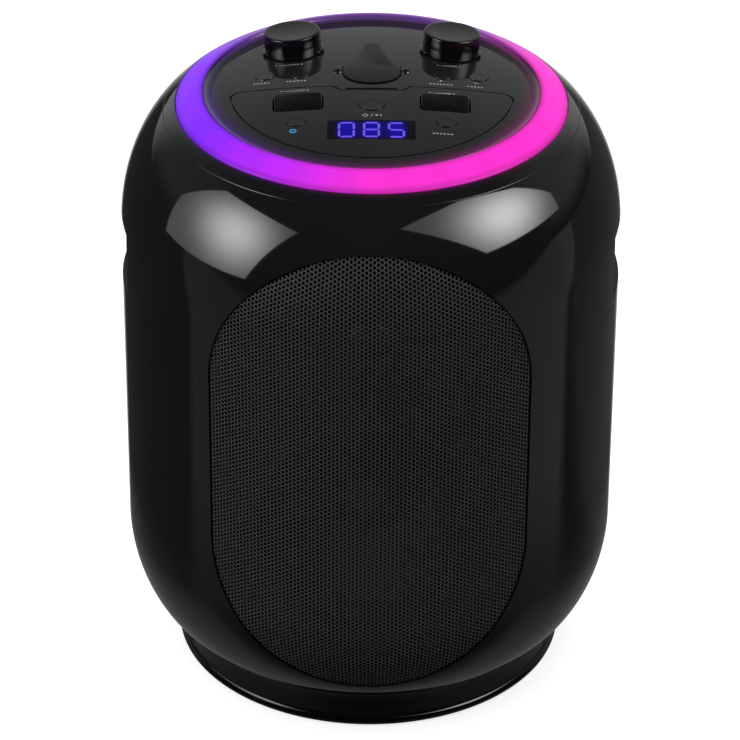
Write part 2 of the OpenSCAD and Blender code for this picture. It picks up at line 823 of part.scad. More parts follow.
module control_panel() {
    color(GLOSS)
    difference() {
        union() {
            dome_slab(cove_in_r + eps, 0, panel_t);
            rotate_extrude()
                polygon(concat(
                    [[seat_in_r, panel_edge_z], [panel_r, panel_edge_z], [panel_r, rim_z]],
                    bow([cove_in_r, rim_z], cove_w, rim_z - dome_z(cove_in_r, 0), 0, -90, 8),
                    [[seat_in_r, dome_z(seat_in_r, 0) - 1]]
                ));
            at_rest()
                intersection() {
                    rest_drum(rest_well_r + well_wall, head_x + rest_head_d / 2);
                    translate([-50, -50, -50])
                        cube([100, 100, 50 - panel_t / 2]);
                }
            at_rest()
                translate([0, 0, -rest_t - well_wall - 0.4])
                    linear_extrude(rest_t + 0.4)
                        rest_outline(rest_gap + well_wall);
        }
        intersection() {
            dome_slab(cove_in_r, -5, inlay_t + 0.05);
            translate([0, 0, dome_top_z - 20])
                linear_extrude(40)
                    inlay_outline(inlay_gap);
        }
        at_rest() {
            intersection() {
                rest_drum(rest_well_r, rest_well_half_w);
                translate([-50, -50, -100 - mouth_t])
                    cube(100);
            }
            translate([0, 0, -rest_t - 0.4])
                linear_extrude(20)
                    rest_outline(rest_gap);
            rest_drum(rest_pin_d / 2 + press_gap, head_x + 1);
            for (side = [-1, 1])
                translate([side * head_x, 0, -rest_pin_depth])
                    sphere(d = rest_head_d + 2 * press_gap, $fn = 48);
        }
        translate([0, -inlay_y - notch_depth + 1.6, dome_top_z])
            cube([2 * notch_half_w - 6, 1.5, 3.2], center = true);
        for (side = [-1, 1])
            on_dome(side * knob_x, knob_y)
                translate([0, 0, -panel_t - 5])
                    cylinder(h = panel_t + 10, d = bushing_d + 0.3);
        control_cuts();
        on_dome(0, -window_y)
            cube([window_w - 4, window_h - 3, 20], center = true);
    }
}

// Openings for rockers and keys, through panel and inlay alike
module control_cuts() {
    for (side = [-1, 1])
        on_dome(side * rocker_x, -rocker_y)
            translate([0, 0, -10])
                linear_extrude(20)
                    round_rect(rocker_len, rocker_w, rocker_corner_r);
    for (key = KEYS)
        on_dome(key[0], key[1])
            translate([0, 0, -10])
                cylinder(h = 20, d = key[2] + 2 * key_gap);
}

module control_inlay() {
    color(GLOSS)
    difference() {
        intersection() {
            dome_slab(cove_in_r, 0, inlay_t);
            translate([0, 0, dome_top_z - 20])
                linear_extrude(40)
                    inlay_outline(0);
        }
        control_cuts();
        on_dome(0, -window_y)
            cube([window_w + 0.2, window_h + 0.2, 20], center = true);
    }
}

module display_window() {
    color([0.02, 0.02, 0.06])
    on_dome(0, -window_y)
        translate([0, 0, -window_t / 2])
            cube([window_w, window_h, window_t - 0.2], center = true);
}

// Module under the window, with one raised block for each digit
module display_module() {
    digits = 3;
    digit_w = 9;
    digit_pitch = 13.2;
    body_h = 7;
    sag = (window_w * window_w + window_h * window_h) / 8 / dome_r;
    top = panel_t + sag + 2 * under_gap;
    digit_top = window_t + 3 * under_gap;
    color([0.05, 0.1, 0.9])
    on_dome(0, -window_y)
        union() {
            translate([0, 0, -top - body_h / 2])
                cube([window_w, window_h, body_h], center = true);
            for (i = [0:digits - 1])
                translate([(i - (digits - 1) / 2) * digit_pitch, 0, -(top + digit_top) / 2 - 0.5])
                    cube([digit_w, window_h - 6, top - digit_top + 1], center = true);
        }
}

module knob(side) {
    bore_h = knob_h - 2.5;
    color(GLOSS)
    on_dome(side * knob_x, knob_y)
        translate([0, 0, knob_lift])
            difference() {
                rotate_extrude()
                    polygon([
                        [0, 2.6], [knob_d / 2 - 2.4, 2.6], [knob_d / 2 - 2.4, 0],
                        [knob_d / 2 + knob_flange, 0], [knob_d / 2 + knob_flange, 0.8],
                        [knob_d / 2 + 0.3, 1.5], [knob_d / 2, 2.6], [knob_d / 2 - 0.2, knob_h - 0.7],
                        [knob_d / 2 - 0.9, knob_h], [0, knob_h]
                    ]);
                difference() {
                    translate([0, 0, -eps])
                        cylinder(h = bore_h, d = shaft_d);
                    translate([shaft_flat - shaft_d / 2, -shaft_d, -1])
                        cube([shaft_d, 2 * shaft_d, bore_h + 2]);
                }
            }
}

module shaft(side) {
    top = knob_lift + knob_h - 2.5 - 0.1;
    deep = 8;
    color(STEEL)
    on_dome(side * knob_x, knob_y)
        difference() {
            translate([0, 0, -deep])
                cylinder(h = deep + top, d = shaft_d);
            translate([shaft_flat - shaft_d / 2, -shaft_d, knob_lift + 2.5])
                cube([shaft_d, 2 * shaft_d, top]);
        }
}

module control(side) {
    body = 17;
    under = panel_t + 0.2;
    color(STEEL)
    on_dome(side * knob_x, knob_y)
        difference() {
            union() {
                translate([0, 0, -under - 4.5])
                    cube([body, body, 9], center = true);
                translate([0, 0, -under - 1])
                    cylinder(h = under + 1 + 2.4, d = bushing_d);
                translate([0, 0, 0.15])
                    cylinder(h = 1.9, d = bushing_d + 4, $fn = 6);
            }
            translate([0, 0, -8 - 0.3])
                cylinder(h = 20, d = shaft_d + 2 * running_gap);
        }
}

// Rocker cap that slopes towards the front, on a pin between two lugs, with a contact stem at each end
module rocker(side) {
    web_w = 7;
    stem = stem_reach(rocker_x + stem_x, rocker_y, stem_x * sin(rocker_tilt));
    bore = rocker_pin_d + 2 * running_gap;
    color(GLOSS)
    on_dome(side * rocker_x, -rocker_y)
        difference() {
            union() {
                translate([0, 0, rocker_proud - rocker_t])
                    linear_extrude(rocker_t)
                        round_rect(2 * rocker_half_l, 2 * rocker_half_w, rocker_corner_r - rocker_gap);
                translate([0, 0, -rocker_pin_depth])
                    rotate([90, 0, 0])
                        cylinder(h = web_w, r = 2.4, center = true);
                translate([-2.4, -web_w / 2, -rocker_pin_depth])
                    cube([4.8, web_w, rocker_pin_depth - rocker_t + rocker_proud + 1]);
                for (end = [-1, 1])
                    translate([end * stem_x, 0, -stem])
                        cylinder(h = stem - rocker_t + rocker_proud + 1, d = 3);
            }
            translate([0, rocker_half_w, rocker_proud])
                rotate([rocker_slope, 0, 0])
                    translate([-rocker_len, -2 * rocker_w, 0])
                        cube([2 * rocker_len, 4 * rocker_w, 20]);
            translate([0, 0, -rocker_pin_depth])
                rotate([90, 0, 0])
                    cylinder(h = web_w + 2, d = bore, center = true);
        }
}

// Steel pin with the two lugs that hold it below the panel
module rocker_pin(side) {
    lug_in = rocker_half_w + 0.5;
    lug_top = panel_t + 2 * under_gap;
    lug_h = rocker_pin_depth + rocker_pin_d + 0.5 - lug_top;
    color(STEEL)
    on_dome(side * rocker_x, -rocker_y)
        union() {
            translate([0, 0, -rocker_pin_depth])
                rotate([90, 0, 0])
                    cylinder(h = 2 * lug_in + rocker_lug_t, d = rocker_pin_d, center = true);
            for (end = [-1, 1])
                translate([0, end * (lug_in + rocker_lug_t / 2), -lug_top - lug_h / 2])
                    cube([6, rocker_lug_t, lug_h], center = true);
        }
}

// Length from the dome's surface down to where the travel ends above a switch, along the dome's normal
function stem_reach(x, y, travel) =
    (dome_z(x, y) - board_z - switch_h - travel - 0.5) / cos(asin(norm([x, y]) / dome_r));

// Round key with a retaining flange below the panel and a stem that ends above its switch
module key(i) {
    x = KEYS[i][0];
    y = KEYS[i][1];
    d = KEYS[i][2];
    stem = stem_reach(x, y, key_travel);
    flange_top = panel_t + key_gap + 0.05;
    flange_r = d / 2 + key_overhang;
    color(GLOSS)
    on_dome(x, y)
        rotate_extrude()
            polygon([
                [0, -stem], [2, -stem], [2, -flange_top - 1.2], [flange_r, -flange_top - 1.2],
                [flange_r, -flange_top], [d / 2, -flange_top], [d / 2, key_proud - 0.3],
                [d / 2 - 0.3, key_proud], [0, key_proud]
            ]);
}

module control_board() {
    color(BOARD)
    union() {
        translate([0, 0, board_z - board_t])
            cylinder(h = board_t, r = board_r);
        for (k = KEYS)
            translate([k[0], k[1], board_z + switch_h / 2 - eps])
                cube([6, 6, switch_h], center = true);
        for (side = [-1, 1])
            for (end = [-1, 1])
                translate([side * rocker_x + end * stem_x, -rocker_y, board_z + switch_h / 2 - eps])
                    cube([6, 6, switch_h], center = true);
    }
}

module rest_arm() {
    color(GLOSS)
    at_rest()
        difference() {
            union() {
                translate([0, 0, rest_proud - rest_t])
                    linear_extrude(rest_t)
                        rest_outline(0);
                rest_drum(rest_pin_depth + rest_proud, rest_half_w);
            }
            rest_drum(rest_pin_d / 2 + running_gap, rest_half_w + 1);
        }
}

module rest_pin() {
    color(STEEL)
    at_rest() {
        rest_drum(rest_pin_d / 2, head_x);
        for (side = [-1, 1])
            translate([side * head_x, 0, -rest_pin_depth])
                sphere(d = rest_head_d, $fn = 48);
    }
}

module battery_pack() {
    color([0.1, 0.12, 0.3])
    translate([-battery_w / 2, -battery_y, foot_h + base_wall])
        cube([battery_w, battery_d, battery_h]);
}

module amplifier_board() {
    color(BOARD)
    union() {
        translate([-amp_w / 2, jack_board_y - board_t, rear_z - amp_h / 2])
            cube([amp_w, board_t, amp_h]);
        translate([-sink_w / 2, jack_board_y - board_t - sink_d, rear_z + 4])
            cube([sink_w, sink_d + eps, sink_h]);
    }
}

module rear_outline(shrink) {
    round_rect(rear_w - 2 * shrink, rear_h - 2 * shrink, 8 - shrink);
}

module rear_panel() {
    clear = 0.3;
    side_wall = 2.4;
    color(SATIN)
    difference() {
        intersection() {
            translate([0, 0, rear_z])
                to_front(-body_r, -rear_y + rear_t)
                    rear_outline(clear);
            cylinder(h = 400, r = body_r - 0.3);
        }
        translate([0, 0, rear_z])
            to_front(-body_r - 1, -rear_y)
                rear_outline(clear + side_wall);
        for (side = [-1, 1])
            translate([side * mic_x, 0, rear_z + mic_up])
                to_front(-rear_y - 1, -rear_y + 20)
                    circle(d = 9.2);
        translate([-small_x, 0, rear_z - small_down])
            to_front(-rear_y - 1, -rear_y + 20)
                circle(d = 7.2);
        translate([0, 0, rear_z - small_down])
            to_front(-rear_y - 1, -rear_y + 20)
                square([14.4, 7.4], center = true);
        translate([small_x, 0, rear_z - small_down])
            to_front(-rear_y - 1, -rear_y + 20)
                circle(d = 9.2);
    }
}

// Revolved socket: a nut on the plate, a threaded barrel through it and a body down to the board
module round_socket(x, z, barrel_d, bore_d, depth) {
    nut_d = barrel_d + 3;
    color(STEEL)
    translate([x, rear_y, rear_z + z])
        rotate([-90, 0, 0])
            difference() {
                union() {
                    translate([0, 0, 0.1])
                        cylinder(h = 2, d = nut_d);
                    translate([0, 0, -rear_t - 1])
                        cylinder(h = rear_t + 4, d = barrel_d);
                    translate([0, 0, -rear_t - 8.1])
                        cube([barrel_d + 3, barrel_d + 3, 15.8], center = true);
                }
                translate([0, 0, 3 - depth])
                    cylinder(h = depth + 1, d = bore_d);
            }
}

module mic_socket(side) {
    round_socket(side * mic_x, mic_up, 9, mic_bore_d, 16);
}

module audio_socket() {
    round_socket(-small_x, -small_down, 7, 3.6, 12);
}

module charge_socket() {
    round_socket(small_x, -small_down, 9, 5.6, 9);
}

module data_socket() {
    color(STEEL)
    translate([0, rear_y, rear_z - small_down])
        rotate([-90, 0, 0])
            difference() {
                translate([0, 0, -8])
                    cube([14, 7, 17], center = true);
                translate([0, 0, -5])
                    cube([12.8, 5.4, 13], center = true);
            }
}

housing();
grip_left();
grip_right();
base_pan();
foot(0);  // foot_1
foot(1);  // foot_2
foot(2);  // foot_3
foot(3);  // foot_4
speaker_grille();
baffle();
woofer_basket();
woofer_cone();
woofer_magnet();
tweeter();
top_deck();
trim_ring();
ring_diffuser();
ring_board();
control_panel();
control_inlay();
display_window();
display_module();
knob(-1);  // knob_left
knob(1);  // knob_right
shaft(-1);  // shaft_left
shaft(1);  // shaft_right
control(-1);  // control_left
control(1);  // control_right
rocker(-1);  // rocker_left
rocker(1);  // rocker_right
rocker_pin(-1);  // rocker_pin_left
rocker_pin(1);  // rocker_pin_right
key(0);  // key_power
key(1);  // key_input
key(2);  // key_function
key(3);  // key_record
key(4);  // key_play
key(5);  // key_vocal
key(6);  // key_track
control_board();
rest_arm();
rest_pin();
battery_pack();
amplifier_board();
rear_panel();
mic_socket(-1);  // mic_socket_1
mic_socket(1);  // mic_socket_2
audio_socket();
data_socket();
charge_socket();
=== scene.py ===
import math

import bmesh
import bpy
from mathutils import Matrix, Vector


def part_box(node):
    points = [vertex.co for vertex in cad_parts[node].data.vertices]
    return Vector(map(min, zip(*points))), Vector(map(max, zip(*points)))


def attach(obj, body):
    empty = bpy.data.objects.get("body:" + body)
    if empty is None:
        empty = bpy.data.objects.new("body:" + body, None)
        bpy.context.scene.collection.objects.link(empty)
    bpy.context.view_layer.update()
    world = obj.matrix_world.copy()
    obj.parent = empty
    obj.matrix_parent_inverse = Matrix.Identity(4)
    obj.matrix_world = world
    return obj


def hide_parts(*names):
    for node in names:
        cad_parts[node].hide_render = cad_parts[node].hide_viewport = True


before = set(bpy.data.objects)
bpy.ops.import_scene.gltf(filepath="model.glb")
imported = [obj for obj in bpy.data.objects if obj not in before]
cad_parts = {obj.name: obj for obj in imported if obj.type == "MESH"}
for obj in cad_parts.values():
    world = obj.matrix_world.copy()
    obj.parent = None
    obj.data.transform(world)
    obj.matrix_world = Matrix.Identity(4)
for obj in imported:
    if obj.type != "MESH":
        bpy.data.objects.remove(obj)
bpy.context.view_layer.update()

# Pieces are modelled in millimetres in the frame of the CAD part, and scaled to metres at the end.
MM = 0.001

# ---- sizes, as in the CAD part
BODY_R = 137.8
BARREL_LOW_Z, BARREL_HIGH_Z = 84.0, 268.4
SHOULDER_RUN, SHOULDER_RISE = 56.6, 80.3
SKIRT_RUN, SKIRT_DROP, SKIRT_Z = 50.9, 70.7, 28.0
WALL = 3.0
SEAM_R = 113.4
RING_OUT_R, RING_IN_R, RING_WALL, RING_GAP = 106.3, 92.2, 2.2, 0.3
GRILLE_HALF_W, GRILLE_LOW_Z, GRILLE_HIGH_Z = 86.5, 126.0, 228.0
GRILLE_INSET, GRILLE_T, GRILLE_GAP = 1.0, 1.0, 0.3
HOLE_PITCH, COLUMN_PITCH, HOLE_D = 2.5, 2.165, 1.96
BAFFLE_Y = 98.0
DECK_Z, DECK_EDGE_R = 333.0, 108.6
DOME_R, DOME_TOP_Z = 566.0, 350.599
PANEL_R, PANEL_T, RIM_T, RIM_Z, COVE_W, SEAT_R = 91.9, 2.5, 0.6, 346.769, 5.0, 86.0
COVE_R = PANEL_R - RIM_T - COVE_W
INLAY_R, INLAY_T, INLAY_Y, INLAY_GAP = 77.0, 1.2, 4.0, 0.3
NOTCH_HALF_W, NOTCH_DEPTH = 17.0, 4.8
KNOB_X, KNOB_Y, KNOB_R, KNOB_H, KNOB_FLANGE, KNOB_LIFT, BUSHING_D = 43.3025, 44.4979, 15.7, 11.3, 1.4, 0.7, 8.3
ROCKER_X, ROCKER_Y, ROCKER_LEN, ROCKER_W, ROCKER_GAP, ROCKER_CORNER = 39.6, 21.5, 27.5, 17.0, 0.8, 3.0
ROCKER_PROUD, ROCKER_SLOPE, ROCKER_T = 1.9, 12.5, 5.3
WINDOW_W, WINDOW_H, WINDOW_Y = 46.6, 18.4, 50.6
REST_Y, REST_HALF_W, REST_HALF_LEN, REST_SHIFT, REST_END_Y, REST_END_W = 14.5, 15.5, 12.2, 4.0, 49.6, 7.4
REST_T, REST_PROUD, REST_PIN_DEPTH, REST_GAP, WELL_R, WELL_HALF_W = 3.0, 0.6, 1.6, 0.5, 17.5, 21.1
REST_HEAD_R, REST_HEAD_X, REST_HEAD_SOCKET_R = 2.9, 18.4, 2.65
KEY_GAP, KEY_PROUD = 0.3, 0.4
# Each key: its place on the panel and its diameter
KEYS = {
    "power": (0.0, -24.3, 14.5),
    "input": (-40.2, -40.5, 11.0),
    "function": (40.2, -40.5, 11.0),
    "record": (-58.0, 13.5, 11.0),
    "play": (-39.0, 12.2, 11.0),
    "vocal": (39.0, 12.2, 11.0),
    "track": (58.0, 13.5, 11.0),
}
BASE_R, BASE_WAIST_R, BASE_TOP_R, BASE_WAIST_Z, FOOT_H = 110.3, 106.6, 112.4, 15.0, 1.4

SHOULDER_C = BODY_R - SHOULDER_RUN
SKIRT_C = BODY_R - SKIRT_RUN
HALF_STRAIGHT = (GRILLE_HIGH_Z - GRILLE_LOW_Z) / 2
GRILLE_MID_Z = (GRILLE_HIGH_Z + GRILLE_LOW_Z) / 2
ROUND_STEPS = 288


def shoulder_z(radius):
    """Height of the shoulder's surface at a radius."""
    return BARREL_HIGH_Z + SHOULDER_RISE * math.sqrt(1 - ((radius - SHOULDER_C) / SHOULDER_RUN) ** 2)


def dome_z(x, y):
    """Height of the domed panel at a place."""
    return DOME_TOP_Z - DOME_R + math.sqrt(DOME_R**2 - x * x - y * y)


def body_point(angle, depth, low):
    """Point (radius, height) of the skirt's or shoulder's ellipse at an angle, below the surface."""
    across, along = math.cos(angle), math.sin(angle)
    if low:
        return (SKIRT_C + (SKIRT_RUN - depth) * across, BARREL_LOW_Z - (SKIRT_DROP - depth) * along)
    return (SHOULDER_C + (SHOULDER_RUN - depth) * across, BARREL_HIGH_Z + (SHOULDER_RISE - depth) * along)


def body_curve(depth, low_z, high_z, steps):
    """The body's outline from one height to another, below its surface."""
    low = math.asin((BARREL_LOW_Z - low_z) / (SKIRT_DROP - depth))
    high = math.asin((high_z - BARREL_HIGH_Z) / (SHOULDER_RISE - depth))
    skirt = [body_point(low * (1 - i / steps), depth, True) for i in range(steps)]
    barrel = [
        (BODY_R - depth, BARREL_LOW_Z + (BARREL_HIGH_Z - BARREL_LOW_Z) * i / steps) for i in range(steps)
    ]
    shoulder = [body_point(high * i / (2 * steps), depth, False) for i in range(2 * steps + 1)]
    return skirt + barrel + shoulder


def surface_radius(height, depth=0.0):
    """Radius of the body at a height, below its surface."""
    if height > BARREL_HIGH_Z:
        part = (height - BARREL_HIGH_Z) / (SHOULDER_RISE - depth)
        return SHOULDER_C + (SHOULDER_RUN - depth) * math.sqrt(max(0.0, 1 - part * part))
    if height < BARREL_LOW_Z:
        part = (BARREL_LOW_Z - height) / (SKIRT_DROP - depth)
        return SKIRT_C + (SKIRT_RUN - depth) * math.sqrt(max(0.0, 1 - part * part))
    return BODY_R - depth


def body_normal(place):
    """Outward normal of the body's surface at a place on it, or None off the surface."""
    radius = math.hypot(place.x, place.y)
    if abs(radius - surface_radius(place.z)) > 0.02:
        return None
    out, up = 1.0, 0.0
    if place.z > BARREL_HIGH_Z:
        out = (radius - SHOULDER_C) / SHOULDER_RUN**2
        up = (place.z - BARREL_HIGH_Z) / SHOULDER_RISE**2
    elif place.z < BARREL_LOW_Z:
        out = (radius - SKIRT_C) / SKIRT_RUN**2
        up = (place.z - BARREL_LOW_Z) / SKIRT_DROP**2
    return Vector((out * place.x / radius, out * place.y / radius, up)).normalized()


def dome_normal(place):
    """Normal of the domed panel at a place on it, or None off the dome."""
    if math.hypot(place.x, place.y) > COVE_R + 0.01 or abs(place.z - dome_z(place.x, place.y)) > 0.12:
        return None
    return Vector((place.x, place.y, place.z - DOME_TOP_Z + DOME_R)).normalized()


def on_dome(x, y):
    """Matrix of a place on the panel, with +Z along the dome's normal."""
    lean = Matrix.Identity(4)
    if x or y:
        lean = Matrix.Rotation(math.asin(math.hypot(x, y) / DOME_R), 4, Vector((-y, x, 0)))
    return Matrix.Translation((x, y, dome_z(x, y))) @ lean


# ---- modelling helpers
def eased(profile, corners, bits=5):
    """A closed profile with some corners, {index: radius}, turned into arcs."""
    out = []
    for i, point in enumerate(profile):
        if i not in corners:
            out.append(tuple(point))
            continue
        before, here, after = Vector(profile[i - 1]), Vector(point), Vector(profile[(i + 1) % len(profile)])
        to_before, to_after = (before - here).normalized(), (after - here).normalized()
        half = to_before.angle(to_after) / 2
        centre = here + (to_before + to_after).normalized() * corners[i] / math.sin(half)
        start = here + to_before * corners[i] / math.tan(half) - centre
        end = here + to_after * corners[i] / math.tan(half) - centre
        turn = math.atan2(start.x * end.y - start.y * end.x, start.dot(end))
        for k in range(bits + 1):
            arm = Matrix.Rotation(turn * k / bits, 2) @ start
            out.append(tuple(centre + arm))
    return out


def revolved(profile, steps=ROUND_STEPS, closed=True):
    """A solid of revolution about Z from (radius, height) points."""
    bm = bmesh.new()
    points = [bm.verts.new((radius, 0, height)) for radius, height in profile]
    ends = points[1:] + points[:1] if closed else points[1:]
    edges = [bm.edges.new(pair) for pair in zip(points, ends)]
    bmesh.ops.spin(bm, geom=points + edges, cent=(0, 0, 0), axis=(0, 0, 1), angle=math.tau, steps=steps, use_merge=True)
    bmesh.ops.remove_doubles(bm, verts=bm.verts, dist=1e-4)
    bmesh.ops.recalc_face_normals(bm, faces=bm.faces)
    return bm


def prism(outline, low, high):
    """An outline in the XY plane, extruded from one height to another."""
    bm = bmesh.new()
    face = bm.faces.new([bm.verts.new((x, y, low)) for x, y in outline])
    grown = bmesh.ops.extrude_face_region(bm, geom=[face])
    raised = [v for v in grown["geom"] if isinstance(v, bmesh.types.BMVert)]
    bmesh.ops.translate(bm, verts=raised, vec=(0, 0, high - low))
    bmesh.ops.recalc_face_normals(bm, faces=bm.faces)
    return bm


def moved(bm, matrix):
    """The same mesh after a transform."""
    bmesh.ops.transform(bm, matrix=matrix, verts=bm.verts)
    return bm


def joined(*parts):
    """Several meshes in one, the others freed."""
    whole = bmesh.new()
    for part in parts:
        mesh = bpy.data.meshes.new("part")
        part.to_mesh(mesh)
        part.free()
        whole.from_mesh(mesh)
        bpy.data.meshes.remove(mesh)
    return whole


def placed(name, bm):
    """A scene object with this mesh, which frees the bmesh."""
    mesh = bpy.data.meshes.new(name)
    bm.to_mesh(mesh)
    bm.free()
    made = bpy.data.objects.new(name, mesh)
    bpy.context.scene.collection.objects.link(made)
    return made


def carved(bm, tool, operation="DIFFERENCE"):
    """The solid after a boolean with the tool."""
    solid, cutter = placed("solid", bm), placed("cutter", tool)
    cut = solid.modifiers.new("cut", "BOOLEAN")
    cut.operation, cut.solver, cut.object = operation, "EXACT", cutter
    bpy.context.view_layer.update()
    result = bpy.data.meshes.new_from_object(solid.evaluated_get(bpy.context.evaluated_depsgraph_get()))
    out = bmesh.new()
    out.from_mesh(result)
    for spent in (solid, cutter):
        mesh = spent.data
        bpy.data.objects.remove(spent)
        bpy.data.meshes.remove(mesh)
    bpy.data.meshes.remove(result)
    return out


def round_rect(width, height, radius, bits=8):
    """Outline of a rectangle with round corners, about the origin."""
    out = []
    for quarter in range(4):
        sx, sy = ((1, 1), (-1, 1), (-1, -1), (1, -1))[quarter]
        for k in range(bits + 1):
            angle = math.pi / 2 * (quarter + k / bits)
            out.append((
                sx * (width / 2 - radius) + radius * math.cos(angle),
                sy * (height / 2 - radius) + radius * math.sin(angle),
            ))
    return out


def stadium(half_w, bits=72):
    """Outline of the grille opening: x sideways, y is the height."""
    out = []
    for middle, start in ((GRILLE_HIGH_Z, 0.0), (GRILLE_LOW_Z, math.pi)):
        for k in range(bits + 1):
            angle = start + math.pi * k / bits
            out.append((half_w * math.cos(angle), middle + half_w * math.sin(angle)))
    return out


def facing(outline, near, far):
    """A front-view outline extruded from y = -far to y = -near."""
    return moved(prism(outline, near, far), Matrix.Rotation(math.pi / 2, 4, "X"))


def dot(radius, x=0.0, y=0.0, steps=20):
    """Outline of a circle about a place."""
    turns = [math.tau * k / steps for k in range(steps)]
    return [(x + radius * math.cos(t), y + radius * math.sin(t)) for t in turns]


def disc(radius, low, high, steps=64):
    """A plain cylinder about Z."""
    return prism(dot(radius, steps=steps), low, high)


def piece(name, bm, finish, body, replaces=(), normal_of=None, sharp=35, walls=None):
    """Turns a mesh in millimetres into a piece of the object, with its finish, its walls' finish and its body."""
    made = placed(name, bm)
    mesh = made.data
    mesh.shade_smooth()
    mesh.set_sharp_from_angle(angle=math.radians(sharp))
    if normal_of:
        loops = [(0.0, 0.0, 0.0)] * len(mesh.loops)
        for face in mesh.polygons:
            for loop in face.loop_indices:
                wanted = normal_of(mesh.vertices[mesh.loops[loop].vertex_index].co)
                if wanted is not None and wanted.dot(face.normal) > 0.8:
                    loops[loop] = tuple(wanted)
        mesh.normals_split_custom_set(loops)
    mesh.materials.append(finish)
    # Faces picked by is_wall take the second finish, the painted shade of holes and openings.
    if walls:
        wall_finish, is_wall = walls
        mesh.materials.append(wall_finish)
        for face in mesh.polygons:
            face.material_index = int(is_wall(face))
    mesh.transform(Matrix.Scale(MM, 4))
    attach(made, body)
    if replaces:
        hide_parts(*replaces)
    return made


def panel_wall(face):
    """True on the upright walls of openings in the panel; these walls get painted shade."""
    return abs(face.normal.z) < 0.6 and math.hypot(*face.center[:2]) < SEAT_R


def hole_wall(face):
    """True inside the holes and on the back of the grille's sheet; these faces get painted shade."""
    return face.normal.dot(Vector((face.center.x, face.center.y, 0)).normalized()) < 0.5


# ---- shader helpers
class Value:
    """A shader socket that takes Python's arithmetic: each operation adds a Math node."""

    def __init__(self, shop, socket):
        self.shop, self.socket = shop, socket

    def math(self, operation, *operands):
        return self.shop.node("ShaderNodeMath", {"operation": operation}, dict(enumerate(operands)))

    def __add__(self, other):
        return self.math("ADD", self, other)

    __radd__ = __add__

    def __sub__(self, other):
        return self.math("SUBTRACT", self, other)

    def __rsub__(self, other):
        return self.math("SUBTRACT", other, self)

    def __mul__(self, other):
        return self.math("MULTIPLY", self, other)

    __rmul__ = __mul__

    def __truediv__(self, other):
        return self.math("DIVIDE", self, other)

    def __pow__(self, other):
        return self.math("POWER", self, other)

    def __abs__(self):
        return self.math("ABSOLUTE", self)

    def between(self, low, high):
        """0 below low, 1 above high, and smooth in between; low may be above high."""
        limits = {"From Min": low, "From Max": high, "Value": self}
        return self.shop.node("ShaderNodeMapRange", {"interpolation_type": "SMOOTHSTEP"}, limits)


class Shop:
    """Builds the nodes of one material, or of the world."""

    def __init__(self, owner):
        self.owner = owner
        owner.use_nodes = True
        self.tree = owner.node_tree
        self.tree.nodes.clear()

    def node(self, kind, settings=None, inputs=None, out=0):
        made = self.tree.nodes.new(kind)
        for name, setting in (settings or {}).items():
            if name == "stops":
                ramp = made.color_ramp
                for element, stop in ((ramp.elements[0], setting[0]), (ramp.elements[1], setting[-1])):
                    element.position, element.color = stop
                for place, colour in setting[1:-1]:
                    ramp.elements.new(place).color = colour
            else:
                setattr(made, name, setting)
        for name, value in (inputs or {}).items():
            if isinstance(value, Value):
                self.tree.links.new(value.socket, made.inputs[name])
            else:
                made.inputs[name].default_value = value
        return Value(self, made.outputs[out] if made.outputs else None)

    def place(self):
        """The object's own coordinates, in metres."""
        return self.node("ShaderNodeTexCoord", out="Object")

    def axes(self):
        """The three coordinates as separate values."""
        split = self.node("ShaderNodeSeparateXYZ", None, {0: self.place()}).socket.node
        return [Value(self, split.outputs[k]) for k in range(3)]

    def noise(self, scale, detail=2.0, rough=0.5):
        """Noise from 0 to 1; scale is in cycles per metre."""
        inputs = {"Vector": self.place(), "Scale": scale, "Detail": detail, "Roughness": rough}
        return self.node("ShaderNodeTexNoise", None, inputs)

    def mixed(self, share, first, second):
        """One colour into another."""
        return self.node("ShaderNodeMix", {"data_type": "RGBA"}, {"Factor": share, 6: first, 7: second}, 2)

    def bump(self, height, distance):
        return self.node("ShaderNodeBump", None, {"Height": height, "Distance": distance})

    def wave(self, along, count):
        """Cosine of a value times a number."""
        return along.math("COSINE", along * count)

    def rays(self):
        """Whether a ray comes from the camera, and whether it is a reflection."""
        paths = self.node("ShaderNodeLightPath").socket.node
        return Value(self, paths.outputs["Is Camera Ray"]), Value(self, paths.outputs["Is Glossy Ray"])

    def glowing(self, kind, strength):
        """White light of a strength from an Emission or Background node."""
        return self.node(kind, None, {"Color": grey(1.0), "Strength": strength})

    def either(self, share, first, second):
        """One shader into another."""
        return self.node("ShaderNodeMixShader", None, {0: share, 1: first, 2: second})

    def surface(self, **sockets):
        """Ends the material in a Principled shader with these sockets."""
        shader = self.node("ShaderNodeBsdfPrincipled", None, {k.replace("_", " "): v for k, v in sockets.items()})
        self.node("ShaderNodeOutputMaterial", None, {"Surface": shader})
        return self.owner


def shop_for(name):
    return Shop(bpy.data.materials.new(name))


def grey(level, tint=1.0):
    """A neutral colour, a little bluer with the tint."""
    return (level, level, level * tint, 1.0)


def dimmed(colour, share):
    return tuple(c * share for c in colour[:3]) + (1.0,)


# ---- finishes
def moulded_gloss(s, tone, rough):
    """Sockets of piano-black moulded plastic: faint flow waves, fine dust and hairline wear in the gloss."""
    dust = s.noise(900.0, 4.0, 0.7).between(0.62, 0.75)
    smears = s.noise(14.0, 3.0).between(0.45, 0.75)
    speck = s.noise(2600.0, 1.0).between(0.74, 0.8)
    return {
        "Base_Color": s.mixed(speck * 0.5 + smears * 0.12, grey(tone, 1.12), grey(tone * 2.6, 1.08)),
        "Roughness": rough + dust * 0.05 + smears * 0.025,
        "IOR": 1.5,
        "Normal": s.bump(s.noise(26.0, 1.0), 0.000012),
    }


def gloss_finish(name, tone=0.0055, rough=0.05, specular=0.5):
    """Gloss plastic away from the lit ring."""
    s = shop_for(name)
    return s.surface(Specular_IOR_Level=specular, **moulded_gloss(s, tone, rough))


